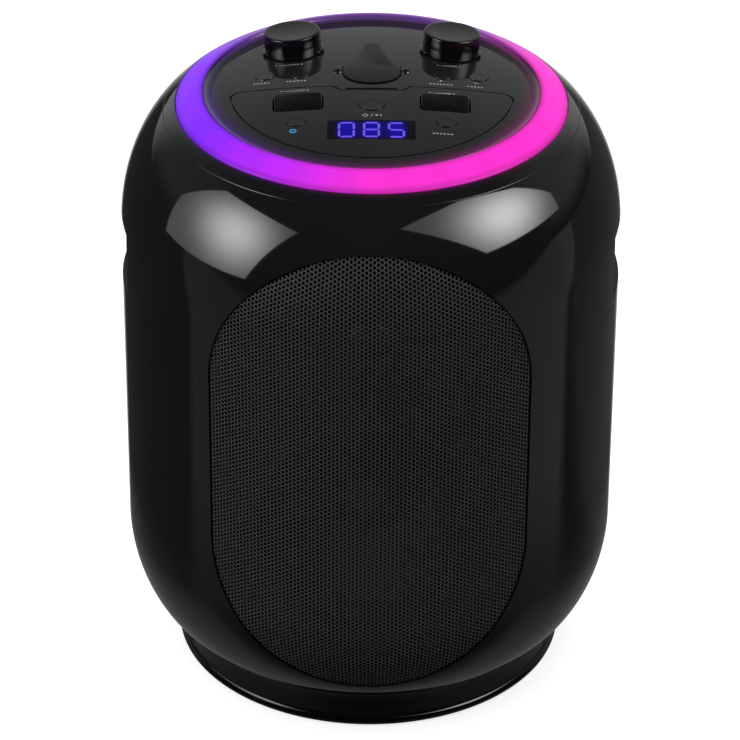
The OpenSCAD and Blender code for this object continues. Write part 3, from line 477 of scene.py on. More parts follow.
def textured_finish(name, tone, rough, grain, depth, specular=0.5):
    """Spark-textured plastic or rubber."""
    s = shop_for(name)
    pits = s.noise(grain, 3.0, 0.6)
    patches = s.noise(40.0, 2.0)
    return s.surface(
        Base_Color=s.mixed(pits * 0.6 + patches * 0.3, grey(tone * 0.7), grey(tone * 1.5)),
        Roughness=rough + pits * 0.14 - patches * 0.06,
        Specular_IOR_Level=specular,
        Normal=s.bump(pits, depth),
    )


def grille_finish():
    """Powder-coated steel sheet."""
    s = shop_for("grille_black")
    powder = s.noise(2400.0, 3.0, 0.65)
    handled = s.noise(22.0, 3.0)
    return s.surface(
        Base_Color=s.mixed(powder * 0.7 + handled * 0.3, grey(0.042, 1.05), grey(0.090, 1.05)),
        Roughness=0.46 + powder * 0.12 - handled * 0.05,
        Normal=s.bump(powder, 0.00003),
    )


def metal_finish():
    """Turned or plated steel with fine lines."""
    s = shop_for("plated_steel")
    lines = s.noise(600.0, 4.0, 0.7)
    colour = (0.62, 0.61, 0.6, 1.0)
    return s.surface(
        Base_Color=s.mixed(s.noise(30.0, 2.0), dimmed(colour, 0.82), colour),
        Metallic=1.0,
        Roughness=0.22 + lines * 0.12,
        Normal=s.bump(lines, 0.00001),
    )


def board_finish():
    """Solder mask with faint tracks."""
    s = shop_for("board_green")
    x, y, _ = s.axes()
    waves = abs((x * 180.0).math("SINE", x * 180.0)) * abs((y * 220.0).math("SINE", y * 220.0))
    tracks = waves.between(0.5, 0.6)
    return s.surface(
        Base_Color=s.mixed(tracks, (0.004, 0.045, 0.018, 1.0), (0.012, 0.09, 0.035, 1.0)),
        Roughness=0.35 + s.noise(300.0) * 0.1,
        Normal=s.bump(tracks, 0.00003),
    )


def battery_finish():
    """Shrink film over the cells."""
    s = shop_for("battery_film")
    creases = s.noise(80.0, 4.0, 0.6)
    return s.surface(
        Base_Color=s.mixed(creases, (0.008, 0.015, 0.06, 1.0), (0.02, 0.035, 0.12, 1.0)),
        Roughness=0.25 + creases * 0.2,
        Normal=s.bump(creases, 0.0003),
    )


RING_LAMPS = 24
# Colours of the lit ring round the object, from the front over the right side
RING_FRONT = (0.90, 0.022, 0.62, 1.0)
RING_RIGHT = (0.96, 0.020, 0.60, 1.0)
# The back colour is dim: partly the lamps' own colour there, partly painted shade of the dark inner half of the ring at
# the back.
RING_BACK_WITH_SHADE = (0.22, 0.075, 0.42, 1.0)
RING_LEFT = (0.22, 0.012, 0.97, 1.0)
RING_FRONT_LEFT = (0.50, 0.014, 0.90, 1.0)


def ring_hue(s, x, y):
    """Colour of the lit ring by the angle round the object, and that angle from 0 to 1."""
    turn = s.node("ShaderNodeMath", {"operation": "ARCTAN2"}, {0: x, 1: 0.0 - y}) / math.tau + 0.5
    hues = [
        (0.0, RING_BACK_WITH_SHADE), (0.12, RING_BACK_WITH_SHADE), (0.20, RING_LEFT), (0.33, RING_LEFT), (0.42, RING_FRONT_LEFT),
        (0.50, RING_FRONT), (0.66, RING_RIGHT), (0.80, RING_RIGHT), (0.90, RING_BACK_WITH_SHADE), (1.0, RING_BACK_WITH_SHADE),
    ]
    return s.node("ShaderNodeValToRGB", {"stops": hues}, {"Fac": turn}), turn


def tinted(s, colour, amount):
    """A colour made fainter by an amount that varies."""
    shade = s.node("ShaderNodeCombineXYZ", None, {0: amount, 1: amount, 2: amount})
    return s.node("ShaderNodeVectorMath", {"operation": "MULTIPLY"}, {0: colour, 1: shade})


def diffuser_finish():
    """Milky diffuser over coloured lamps: the colour turns round the ring and is softer at its rims."""
    s = shop_for("lit_diffuser")
    x, y, _ = s.axes()
    hue, turn = ring_hue(s, x, y)
    radius = (x * x + y * y) ** 0.5
    rim = abs(radius / MM - (RING_OUT_R + RING_IN_R) / 2).between(3.6, 7.2)
    lamps = (s.wave(turn, RING_LAMPS * math.tau) * 0.5 + 0.5) * 0.08
    glow = 1.0 - rim * 0.35 + lamps * (1.0 - rim)
    dim = s.node("ShaderNodeVectorMath", {"operation": "SCALE"}, {0: hue, "Scale": 0.05})
    return s.surface(
        Base_Color=dim,
        Roughness=0.36 + s.noise(700.0, 3.0) * 0.1,
        Emission_Color=tinted(s, hue, glow),
        Emission_Strength=1.0,
        Specular_IOR_Level=0.3,
        Normal=s.bump(s.noise(500.0, 2.0), 0.00001),
    )


def ring_glow_painted_finish(name, tone, far_r, near_r, share, back_share=0.0):
    """Gloss plastic with painted light: the lit ring's colour is painted on as emission beside the ring, from one
    radius to another, most in front.
    """
    s = shop_for(name)
    x, y, _ = s.axes()
    hue, _ = ring_hue(s, x, y)
    radius = (x * x + y * y) ** 0.5 / MM
    # Painted light: emission in the ring's colour where the ring's glow would spill onto this plastic; share sets its
    # strength.
    glow = radius.between(far_r, near_r) ** 2.0 * y.between(0.05, -0.07) * share
    # back_share adds the same painted ring light along the panel's back rim.
    if back_share:
        glow = glow + radius.between(PANEL_R - 4.0, PANEL_R - 0.5) * y.between(0.02, 0.07) * back_share
    return s.surface(Emission_Color=tinted(s, hue, glow), Emission_Strength=1.0, **moulded_gloss(s, tone, 0.05))


DIGIT_PITCH = 13.3


def window_finish():
    """Smoked window with the glow of the digits behind it."""
    s = shop_for("smoked_window")
    x, y, _ = s.axes()
    across, up = abs(x / MM), abs(y / MM + WINDOW_Y)
    edge = across.between(20.5, 16.5)
    beat = s.wave(x, math.tau / (DIGIT_PITCH * MM))
    glow = edge * (0.62 + beat * 0.3) * up.between(11.0, 3.0)
    return s.surface(
        Base_Color=grey(0.0015, 1.3),
        Roughness=0.12 + s.noise(800.0) * 0.05,
        Emission_Color=s.mixed(glow, (0.0, 0.0, 0.003, 1.0), (0.004, 0.0, 0.36, 1.0)),
        Emission_Strength=1.0,
        Specular_IOR_Level=0.12,
    )


def digit_finish():
    """Lit segments, whiter along their middle."""
    s = shop_for("lit_digit")
    cells = s.noise(1400.0, 2.0)
    return s.surface(
        Base_Color=grey(0.02),
        Roughness=0.4,
        Emission_Color=s.mixed(cells, (0.08, 0.035, 0.75, 1.0), (0.16, 0.09, 0.92, 1.0)),
        Emission_Strength=1.0,
    )


def ink_finish(name, colour, worn):
    """Screen-printed ink."""
    s = shop_for(name)
    wear = s.noise(1800.0, 3.0, 0.6).between(0.35, 0.75)
    return s.surface(Base_Color=s.mixed(wear * worn, colour, dimmed(colour, 0.55)), Roughness=0.5 + wear * 0.1)


gloss = gloss_finish("gloss_black")
# The panel, inlay and keys, and the trim, carry painted ring light beside the lit ring.
panel_gloss_ring_glow_painted = ring_glow_painted_finish("panel_gloss_ring_glow_painted", 0.0085, COVE_R - 10.0, PANEL_R + 0.5, 0.24, 0.4)
trim_gloss_ring_glow_painted = ring_glow_painted_finish("trim_gloss_ring_glow_painted", 0.0055, RING_OUT_R + 4.0, RING_OUT_R, 0.06)
# Painted shade: the base's gloss is darker and less reflective than the body's, standing in for the shade under the
# housing's overhang.
base_shaded_gloss = gloss_finish("base_shaded_gloss", tone=0.0018, rough=0.05, specular=0.32)
rocker_gloss = gloss_finish("rocker_gloss", tone=0.0014, rough=0.09)
# Painted shade: a near-black, barely reflective finish for the walls of holes and openings, standing in for the shade
# inside them.
painted_shade_black = textured_finish("painted_shade_black", 0.0008, 0.8, 900.0, 0.00002, specular=0.1)
knob_gloss = gloss_finish("knob_gloss", tone=0.002, rough=0.12, specular=0.36)
arm_gloss = gloss_finish("rest_gloss", tone=0.0025, rough=0.28, specular=0.27)
pin_gloss = gloss_finish("pin_black", tone=0.006, rough=0.08)
satin = textured_finish("satin_black", 0.012, 0.42, 1600.0, 0.00003)
rubber = textured_finish("rubber_black", 0.014, 0.6, 900.0, 0.00005)
cone_paper = textured_finish("cone_black", 0.011, 0.7, 500.0, 0.00008)
grille_black = grille_finish()
plated = metal_finish()
board = board_finish()
film = battery_finish()
diffuser = diffuser_finish()
window_glass = window_finish()
lit_digit = digit_finish()
white_ink = ink_finish("white_ink", (0.30, 0.30, 0.31, 1.0), 0.5)
blue_ink = ink_finish("blue_ink", (0.03, 0.30, 0.60, 1.0), 0.3)

# Walls of openings in the panel and the rest get painted shade.
PAINTED_SHADE_WALLS = (painted_shade_black, panel_wall)

CAD_FINISHES = {
    gloss: ["housing", "grip_left", "grip_right", "base_pan", "trim_ring", "control_panel", "control_inlay",
            "knob_left", "knob_right", "rocker_left", "rocker_right", "rest_arm"]
    + ["key_" + name for name in KEYS],
    pin_gloss: ["rest_pin"],
    satin: ["baffle", "woofer_basket", "tweeter", "top_deck", "rear_panel"],
    rubber: ["foot_1", "foot_2", "foot_3", "foot_4"],
    cone_paper: ["woofer_cone"],
    grille_black: ["speaker_grille"],
    plated: ["woofer_magnet", "shaft_left", "shaft_right", "control_left", "control_right",
             "rocker_pin_left", "rocker_pin_right", "mic_socket_1", "mic_socket_2", "audio_socket",
             "charge_socket", "data_socket"],
    board: ["ring_board", "control_board", "amplifier_board"],
    film: ["battery_pack"],
    diffuser: ["ring_diffuser"],
    window_glass: ["display_window", "display_module"],
}
for finish, names in CAD_FINISHES.items():
    for name in names:
        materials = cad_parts[name].data.materials
        materials.clear()
        materials.append(finish)


# ---- camera and studio
CAMERA_TILT = math.radians(31.0)
CAMERA_ROLL = math.radians(0.35)
CAMERA_AWAY = 2.206
CAMERA_LENS = 189.7
LOOK_AT = Vector((0.0, 0.0, 0.1688))

lens = bpy.data.cameras.new("camera")
lens.lens, lens.sensor_width, lens.clip_start, lens.clip_end = CAMERA_LENS, 36.0, 0.05, 60.0
camera = bpy.data.objects.new("camera", lens)
bpy.context.scene.collection.objects.link(camera)
camera.location = LOOK_AT + CAMERA_AWAY * Vector((0, -math.cos(CAMERA_TILT), math.sin(CAMERA_TILT)))
turned = Matrix.Rotation(math.pi / 2 - CAMERA_TILT, 4, "X") @ Matrix.Rotation(CAMERA_ROLL, 4, "Z")
camera.rotation_euler = turned.to_euler()
bpy.context.scene.camera = camera
bpy.context.scene.view_settings.view_transform = "Standard"


def light_panel(name, corners, hot, peak, edge, spread, on_matt):
    """A soft light panel, brightest at its hot place, dimmer on matt surfaces, that the camera looks through."""
    bm = bmesh.new()
    bm.faces.new([bm.verts.new(c) for c in corners])
    made = placed(name, bm)
    s = shop_for(name)
    away = s.node("ShaderNodeVectorMath", {"operation": "DISTANCE"}, {0: s.place(), 1: hot}, "Value")
    fall = s.node("ShaderNodeMath", {"operation": "EXPONENT"}, {0: (away / spread) ** 2.0 * -1.0})
    _, is_gloss = s.rays()
    share = on_matt + is_gloss * (1.0 - on_matt)
    light = s.glowing("ShaderNodeEmission", (edge + fall * (peak - edge)) * share)
    s.node("ShaderNodeOutputMaterial", None, {"Surface": light})
    made.data.materials.append(s.owner)
    made.visible_camera = False
    made.visible_shadow = False


# Corners of the light panels, in metres, placed for the two highlights on the shoulder
LEFT_LIGHT = [
    (-1.251, 0.206, 0.135), (-1.117, 0.149, 0.535), (-0.915, -0.121, 0.931), (-0.651, -0.905, 0.963),
    (-0.94, -0.703, 0.189),
]
RIGHT_LIGHT = [
    (0.282, -1.023, 1.191), (0.603, -0.375, 1.159), (0.865, -0.077, 0.967), (1.134, 0.101, 0.674),
    (1.249, 0.092, 0.488), (0.867, -0.701, 0.509),
]
light_panel("soft_light_left", LEFT_LIGHT, (-0.90, -0.465, 0.596), 10.5, 1.0, 0.31, 0.3)
light_panel("soft_light_right", RIGHT_LIGHT, (0.853, -0.366, 0.775), 13.5, 1.1, 0.33, 0.1)


def studio_world():
    """White to the camera, a dim room with a paler backdrop in reflections, and light from above on matt surfaces."""
    world = bpy.data.worlds.new("studio")
    bpy.context.scene.world = world
    s = Shop(world)
    is_camera, is_gloss = s.rays()
    split = s.node("ShaderNodeSeparateXYZ", None, {0: s.node("ShaderNodeTexCoord", out="Generated")}).socket.node
    x, y, z = (Value(s, split.outputs[k]) for k in range(3))
    wings = (1.0 + abs(x).between(0.05, 0.45) * 0.6) * abs(x).between(0.8, 0.5)
    backdrop = y.between(-0.1, 0.7) * z.between(0.95, 0.15) * wings
    sides = abs(x).between(0.35, 0.75) * z.between(0.0, 0.2) * z.between(0.85, 0.5) * y.between(-0.2, 0.2)
    room = 0.038 + backdrop * 0.38 + sides * (0.12 + x.between(-0.2, 0.2) * 0.12)
    sky = 0.15 + z.between(0.0, 1.0) * 1.6
    for_matt, for_gloss, white = (s.glowing("ShaderNodeBackground", strength) for strength in (sky, room, 1.0))
    seen = s.either(is_camera, s.either(is_gloss, for_matt, for_gloss), white)
    s.node("ShaderNodeOutputWorld", None, {"Surface": seen})


def studio_floor():
    """A white table: it keeps the shadow, and its mirror image is dim in front and pale behind."""
    bm = bmesh.new()
    bmesh.ops.create_grid(bm, x_segments=1, y_segments=1, size=12.0)
    floor = placed("floor", bm)
    s = shop_for("floor")
    is_camera, is_gloss = s.rays()
    x, y, _ = s.axes()
    away = (x * x + y * y) ** 0.5
    spread = (y * 0.42).math("MAXIMUM", y * 0.42, 0.02)
    behind = ((abs(x) - 0.13) / spread).between(1.0, 0.0) * y.between(0.0, 0.12)
    right = (y - 0.2126 * x).between(-0.085, -0.13) * x.between(0.08, 0.14) * y.between(-0.9, -0.5)
    left = y.between(-0.07, -0.11) * x.between(-0.08, -0.14) * y.between(-0.9, -0.5)
    far = away.between(0.16, 0.40)
    close = away.between(0.27, 0.15) * y.between(-0.135, -0.105)
    edge = x.between(0.12, 0.3) * y.between(-0.01, 0.08)
    mirror = 0.033 + behind * 0.95 + right * far * 0.20 + left * far * 0.14 + close * 0.14 + edge * 0.06
    for_gloss, lift = (s.glowing("ShaderNodeEmission", strength) for strength in (mirror, 0.74))
    table, for_matt = (s.node("ShaderNodeBsdfDiffuse", None, {"Color": grey(level)}) for level in (0.5, 0.09))
    shown = s.node("ShaderNodeAddShader", None, {0: table, 1: lift})
    seen = s.either(is_camera, s.either(is_gloss, for_matt, for_gloss), shown)
    s.node("ShaderNodeOutputMaterial", None, {"Surface": seen})
    floor.data.materials.append(s.owner)


studio_world()
studio_floor()


# ---- housing
def housing_shell():
    """The barrel moulding with the grille's throat and the openings for the grips and the rear panel."""
    outer = body_curve(0.0, SKIRT_Z, shoulder_z(SEAM_R), 24)
    inner = body_curve(WALL, SKIRT_Z, shoulder_z(SEAM_R), 12)
    profile = outer + inner[::-1]
    shell = revolved(eased(profile, {0: 1.1, len(outer) - 1: 0.7}))
    tools = [facing(stadium(GRILLE_HALF_W), BAFFLE_Y, BODY_R + 10)]
    low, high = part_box("grip_right")
    middle, tall = (low.z + high.z) / 2 / MM, (high.z - low.z) / MM + 0.6
    for side in (-1, 1):
        mouth = prism(round_rect(76.0, tall, 13.0), 90.0, BODY_R + 5)
        turn = Matrix(((0, 0, side, 0), (side, 0, 0, 0), (0, 1, 0, middle), (0, 0, 0, 1)))
        tools.append(moved(mouth, turn))
    rear = facing(round_rect(92.0, 76.0, 8.0), -BODY_R - 5, -84.0)
    tools.append(moved(rear, Matrix.Translation((0, 0, 112.0))))
    for tool in tools:
        bmesh.ops.recalc_face_normals(tool, faces=tool.faces)
    shell = carved(shell, joined(*tools))
    throat = facing(stadium(GRILLE_HALF_W + 2.5), BAFFLE_Y, BODY_R)
    throat = carved(throat, facing(stadium(GRILLE_HALF_W), BAFFLE_Y - 1, BODY_R + 1))
    mid_wall = body_curve(WALL / 2, SKIRT_Z, shoulder_z(SEAM_R), 12)
    core = revolved([(0, SKIRT_Z)] + mid_wall + [(0, shoulder_z(SEAM_R))], 144, False)
    throat = carved(throat, core, "INTERSECT")
    piece("housing_shell", joined(shell, throat), gloss, "cabinet", ["housing"], body_normal)


def base_foot():
    """The pedestal: a waisted band that flares into a bead just above the floor."""
    bead_z = 3.7
    low = [
        (BASE_WAIST_R + 0.3 + 0.9 * s**2 + 2.5 * s**14, BASE_WAIST_Z + (bead_z - BASE_WAIST_Z) * s)
        for s in [k / 24 for k in range(25)]
    ]
    high = [
        (BASE_WAIST_R + 0.3 + (BASE_TOP_R - BASE_WAIST_R - 0.3) * s * s, BASE_WAIST_Z + (30.0 - BASE_WAIST_Z) * s)
        for s in [k / 12 for k in range(12, 0, -1)]
    ]
    bead = [
        (BASE_R - 0.15, 3.2), (BASE_R, 2.7), (BASE_R - 0.3, 1.9), (BASE_R - 0.9, FOOT_H + 0.05), (BASE_R - 1.6, FOOT_H),
    ]
    inside = [(60.0, FOOT_H), (60.0, FOOT_H + 3), (BASE_WAIST_R - 3, FOOT_H + 3), (BASE_TOP_R - 3, 30.0)]
    solid = revolved(high + low + bead + inside)
    plate = revolved([(0, FOOT_H), (60.0, FOOT_H), (60.0, FOOT_H + 3), (0, FOOT_H + 3)], 96, False)
    piece("base_band", joined(solid, plate), base_shaded_gloss, "cabinet", ["base_pan"])


def top_rings():
    """Gloss trim between the housing and the lit ring, and the lit diffuser itself."""
    def crown(outer, inner, steps):
        radii = [outer + (inner - outer) * i / steps for i in range(steps + 1)]
        return [(radius, shoulder_z(radius)) for radius in radii]

    outer, inner = SEAM_R - 0.2, RING_OUT_R + RING_GAP
    top = crown(outer, inner, 8)
    seam_z = shoulder_z(SEAM_R)
    trim = top + [(inner, DECK_Z), (DECK_EDGE_R, DECK_Z), (DECK_EDGE_R, seam_z), (outer, seam_z)]
    trim = revolved(eased(trim, {0: 0.7, 8: 0.4}))
    piece("gloss_trim", trim, trim_gloss_ring_glow_painted, "cabinet", ["trim_ring"], body_normal)
    top = crown(RING_OUT_R, RING_IN_R, 16)
    under = [(r, z - RING_WALL) for r, z in crown(RING_IN_R + RING_WALL, RING_OUT_R - RING_WALL, 8)]
    inner_foot = [(RING_IN_R, DECK_Z), (RING_IN_R + RING_WALL, DECK_Z)]
    outer_foot = [(RING_OUT_R - RING_WALL, DECK_Z), (RING_OUT_R, DECK_Z)]
    ring = revolved(eased(top + inner_foot + under + outer_foot, {0: 0.6, 16: 0.6}))
    piece("lit_ring", ring, diffuser, "cabinet", ["ring_diffuser"], body_normal)


# ---- perforated grille
def grille_cell():
    """One hexagon of sheet with a round hole, flat in XY."""
    bm = bmesh.new()
    side = HOLE_PITCH / math.sqrt(3)
    bmesh.ops.create_circle(bm, segments=6, radius=side)
    bmesh.ops.subdivide_edges(bm, edges=bm.edges[:], cuts=1)
    rim = bm.edges[:]
    hole = bmesh.ops.create_circle(bm, segments=12, radius=HOLE_D / 2)["verts"]
    ring = [e for e in bm.edges if all(v in hole for v in e.verts)]
    bmesh.ops.bridge_loops(bm, edges=rim + ring)
    mesh = bpy.data.meshes.new("cell")
    bm.to_mesh(mesh)
    bm.free()
    return mesh


def inside_stadium(x, z, reach):
    """The same front-view place, drawn in to the stadium's edge where it lies outside."""
    over = z - GRILLE_MID_Z
    past = max(0.0, abs(over) - HALF_STRAIGHT)
    away = math.hypot(x, past)
    if away <= reach:
        return x, z, away
    if past:
        z = GRILLE_MID_Z + math.copysign(HALF_STRAIGHT + past * reach / away, over)
    return x * reach / away, z, away


def wrapped(bm, reach):
    """Wraps a flat sheet, x along the arc, y up and z deep, onto the body's front, below its surface."""
    for v in bm.verts:
        x, z, _ = inside_stadium(BODY_R * math.sin(v.co.x / BODY_R), v.co.y, reach)
        radius = surface_radius(z, GRILLE_INSET + v.co.z)
        v.co = (radius * x / BODY_R, -radius * math.sqrt(1 - (x / BODY_R) ** 2), z)
    return bm


def perforated_grille(strips=6):
    """The perforated sheet, in upright strips that stay light enough for one mesh each."""
    reach = GRILLE_HALF_W - GRILLE_GAP
    columns = int(BODY_R * math.asin(reach / BODY_R) / COLUMN_PITCH) + 1
    rows = int((HALF_STRAIGHT + reach) / HOLE_PITCH) + 1
    cell = grille_cell()
    at = Vector((0, 0, 0))
    share = (2 * columns + 1) / strips
    for strip in range(strips):
        bm = bmesh.new()
        first, last = round(strip * share) - columns, round((strip + 1) * share) - columns
        for column in range(first, last):
            across = column * COLUMN_PITCH
            for row in range(-rows, rows + 1):
                height = GRILLE_MID_Z + (row + 0.5 * (column % 2)) * HOLE_PITCH
                if inside_stadium(BODY_R * math.sin(across / BODY_R), height, reach)[2] > reach + 0.35:
                    continue
                to = Vector((across, height, 0))
                cell.transform(Matrix.Translation(to - at))
                at = to
                bm.from_mesh(cell)
        bmesh.ops.remove_doubles(bm, verts=bm.verts, dist=0.05)
        deep = bmesh.ops.extrude_face_region(bm, geom=bm.faces[:], use_keep_orig=True)
        for v in deep["geom"]:
            if isinstance(v, bmesh.types.BMVert):
                v.co.z = GRILLE_T
        wrapped(bm, reach)
        bmesh.ops.remove_doubles(bm, verts=bm.verts, dist=0.01)
        bmesh.ops.recalc_face_normals(bm, faces=bm.faces)
        # The hole walls and the sheet's back get painted shade.
        name, shade = f"grille_sheet_{strip + 1}", (painted_shade_black, hole_wall)
        piece(name, bm, grille_black, "cabinet", ["speaker_grille"], walls=shade)


# ---- control panel
def dome_points(radius, rise, steps=30):
    """Profile of the dome from the axis outward, raised above its surface."""
    return [(radius * k / steps, dome_z(radius * k / steps, 0) + rise) for k in range(steps + 1)]


def dome_slab(radius, high, low):
    """Slice of the dome between two heights above its surface."""
    return revolved(dome_points(radius, high) + dome_points(radius, low)[::-1], 180, False)


def inlay_outline(grow):
    """Half disc with rounded corners and a notch in its straight edge."""
    corner, big = 6.0, INLAY_R + grow
    corner_y = -INLAY_Y + grow - corner
    corner_x = math.sqrt((big - corner) ** 2 - corner_y**2)
    lean = math.atan2(-corner_y, corner_x)
    turns = [math.pi + lean + (math.pi - 2 * lean) * k / 90 for k in range(91)]
    arc = [(big * math.cos(t), big * math.sin(t)) for t in turns]
    bends = [-lean + (math.pi / 2 + lean) * k / 8 for k in range(1, 9)]
    half = [(corner_x + corner * math.cos(t), corner_y + corner * math.sin(t)) for t in bends]
    half += [(NOTCH_HALF_W + 4 - grow, -INLAY_Y + grow), (NOTCH_HALF_W - grow, -INLAY_Y - NOTCH_DEPTH + grow)]
    return arc + half + [(-x, y) for x, y in reversed(half)]


def rest_outline(grow, bits=40):
    """Outline of the device rest round its pin: half an oval in front, then sides that sweep into the arm."""
    half_w, half_end, end = REST_HALF_W + grow, REST_END_W / 2 + grow, REST_END_Y - REST_Y + grow
    flare_y = REST_HALF_LEN / 2
    turns = [math.pi * (1 + k / bits) for k in range(bits + 1)]
    oval = [(half_w * math.cos(t), -REST_SHIFT + (REST_HALF_LEN + grow) * math.sin(t)) for t in turns]
    steps = [k / 16 for k in range(17)]
    side = [(half_end + (half_w - half_end) * (1 - s) ** 1.6, flare_y + (end - flare_y) * s) for s in steps]
    return oval + side + [(-x, y) for x, y in reversed(side)]


def rest_drum(radius, half_w, top=None):
    """Drum along X round the rest's pin, cut off above a height."""
    to_pin = Matrix.Translation((0, 0, -REST_PIN_DEPTH)) @ Matrix.Rotation(math.pi / 2, 4, "Y")
    drum = moved(disc(radius, -half_w, half_w, 96), to_pin)
    if top is not None:
        whole = drum.verts[:] + drum.edges[:] + drum.faces[:]
        cut = bmesh.ops.bisect_plane(drum, geom=whole, plane_co=(0, 0, top), plane_no=(0, 0, 1), clear_outer=True)
        bmesh.ops.holes_fill(drum, edges=[e for e in cut["geom_cut"] if isinstance(e, bmesh.types.BMEdge)])
    bmesh.ops.recalc_face_normals(drum, faces=drum.faces)
    return drum


def opening(outline, x, y):
    """Cutter through the panel at a place."""
    return moved(prism(outline, -10.0, 10.0), on_dome(x, y))


def round_opening(diameter, x, y):
    """Round cutter through the panel at a place."""
    return moved(disc(diameter / 2, -10.0, 10.0), on_dome(x, y))


def key_openings(*names):
    """Cutters for keys."""
    return [round_opening(KEYS[name][2] + 2 * KEY_GAP, *KEYS[name][:2]) for name in names]


def inlay_openings(edge):
    """Cutters for the rockers, the keys and the window, all through the inlay."""
    cuts = [opening(round_rect(ROCKER_LEN, ROCKER_W, ROCKER_CORNER), side * ROCKER_X, -ROCKER_Y) for side in (-1, 1)]
    cuts += key_openings("power", "input", "function")
    cuts.append(opening(round_rect(WINDOW_W - edge, WINDOW_H - edge, 0.8), 0, -WINDOW_Y))
    return cuts


def above_inlay(grow):
    """The inlay's outline as a tall upright cutter."""
    return prism(inlay_outline(grow), DOME_TOP_Z - 20, DOME_TOP_Z + 20)


def control_panel():
    """The domed panel with its rim, the inlay's recess, the rest's well and all openings."""
    turns = [math.pi / 2 * k / 10 for k in range(1, 11)]
    drop = RIM_Z - dome_z(COVE_R, 0)
    cove = [(COVE_R + COVE_W * math.sin(t), RIM_Z - drop * math.cos(t)) for t in turns]
    edge_z = dome_z(SEAT_R, 0) - PANEL_T - 1
    top = dome_points(COVE_R, 0.0) + cove + [(PANEL_R, RIM_Z)]
    profile = top + [(PANEL_R, edge_z), (SEAT_R, edge_z)] + dome_points(SEAT_R, -PANEL_T)[::-1]
    plate = revolved(eased(profile, {len(top) - 1: 0.25}), closed=False)
    at_rest = on_dome(0, REST_Y)
    plate = carved(plate, moved(rest_drum(WELL_R + 2, WELL_HALF_W, -PANEL_T / 2), at_rest), "UNION")
    plate = carved(plate, moved(prism(rest_outline(REST_GAP + 2), -REST_T - 2.4, -2.0), at_rest), "UNION")
    recess = carved(dome_slab(COVE_R, 5.0, -INLAY_T - 0.05), above_inlay(INLAY_GAP + 0.15), "INTERSECT")
    first = [recess, moved(prism(rest_outline(REST_GAP), -REST_T - 0.4, 15.0), at_rest)]
    first += [round_opening(BUSHING_D, side * KNOB_X, KNOB_Y) for side in (-1, 1)]
    first += key_openings("record", "play", "vocal", "track")
    plate = carved(plate, joined(*first))
    at_notch = Matrix.Translation((0, -INLAY_Y - NOTCH_DEPTH + 1.6, DOME_TOP_Z))
    slot = moved(prism(round_rect(28.0, 1.5, 0.6), -1.6, 5.0), at_notch)
    well = moved(rest_drum(WELL_R, REST_HALF_W + REST_GAP, -1.4), at_rest)
    plate = carved(plate, joined(slot, well, *inlay_openings(3.5)))
    ends = [at_rest @ Matrix.Translation((side * REST_HEAD_X, 0, 0)) for side in (-1, 1)]
    plate = carved(plate, joined(*(moved(disc(REST_HEAD_SOCKET_R, -5.0, 5.0, 40), end) for end in ends)))
    piece("panel_plate", plate, panel_gloss_ring_glow_painted, "cabinet", ["control_panel"], dome_normal, walls=PAINTED_SHADE_WALLS)


def inlay():
    """The half-round plate that lies in the panel."""
    plate = carved(dome_slab(COVE_R, 0.0, -INLAY_T), above_inlay(-0.3), "INTERSECT")
    plate = carved(plate, joined(*inlay_openings(-0.2)))
    piece("panel_inlay", plate, panel_gloss_ring_glow_painted, "cabinet", ["control_inlay"], dome_normal, walls=PAINTED_SHADE_WALLS)


def knob(side):
    """Turned knob with a softened top edge and a foot flange that stands out at its sides."""
    flange = KNOB_R + KNOB_FLANGE
    profile = [
        (0, KNOB_H - 0.18), (KNOB_R - 3.4, KNOB_H - 0.12), (KNOB_R - 2.6, KNOB_H), (KNOB_R - 0.2, KNOB_H),
        (KNOB_R, 2.6), (KNOB_R + 0.04, 1.5), (flange, 0.8), (flange, 0), (KNOB_R - 2.4, 0), (KNOB_R - 2.4, 2.6),
        (0, 2.6),
    ]
    cap = revolved(eased(profile, {3: 0.8, 6: 0.25, 7: 0.25}), 160, False)
    for v in cap.verts:
        out = math.hypot(v.co.x, v.co.y)
        if out > KNOB_R + 0.05:
            lug = min(1.0, max(0.0, (abs(v.co.x) / out - 0.84) / 0.12))
            keep = (KNOB_R + 0.05 + (out - KNOB_R - 0.05) * lug * lug * (3 - 2 * lug)) / out
            v.co.x, v.co.y = v.co.x * keep, v.co.y * keep
    to = on_dome(side * KNOB_X, KNOB_Y) @ Matrix.Translation((0, 0, KNOB_LIFT))
    name = "knob_right" if side > 0 else "knob_left"
    piece(name + "_cap", moved(cap, to), knob_gloss, name, [name])


def rocker(side):
    """Wedge-shaped cap that slopes to the front, with soft edges."""
    half_l, half_w = ROCKER_LEN / 2 - ROCKER_GAP, ROCKER_W / 2 - ROCKER_GAP
    outline = round_rect(2 * half_l, 2 * half_w, ROCKER_CORNER - ROCKER_GAP, 6)
    cap = prism(outline, ROCKER_PROUD - ROCKER_T, ROCKER_PROUD)
    for v in cap.verts:
        if v.co.z > 0:
            v.co.z -= (half_w - v.co.y) * math.tan(math.radians(ROCKER_SLOPE))
    face = max(cap.faces, key=lambda f: f.normal.z)
    bmesh.ops.bevel(cap, geom=face.edges[:], offset=0.75, segments=4, profile=0.5, affect="EDGES", material=-1)
    name = "rocker_right" if side > 0 else "rocker_left"
    piece(name + "_cap", moved(cap, on_dome(side * ROCKER_X, -ROCKER_Y)), rocker_gloss, name, [name])


def key_cap(name):
    """Round key with a shallow dish in its face."""
    x, y, diameter = KEYS[name]
    radius = diameter / 2
    dish = [(radius * k / 8 * 0.86, KEY_PROUD - 0.05 * (1 - (k / 8) ** 2)) for k in range(9)]
    profile = dish + [(radius, KEY_PROUD), (radius, -2.85), (0, -2.85)]
    cap = revolved(eased(profile, {9: 0.12}), 96, False)
    piece(f"key_{name}_cap", moved(cap, on_dome(x, y)), panel_gloss_ring_glow_painted, "key_" + name, ["key_" + name])


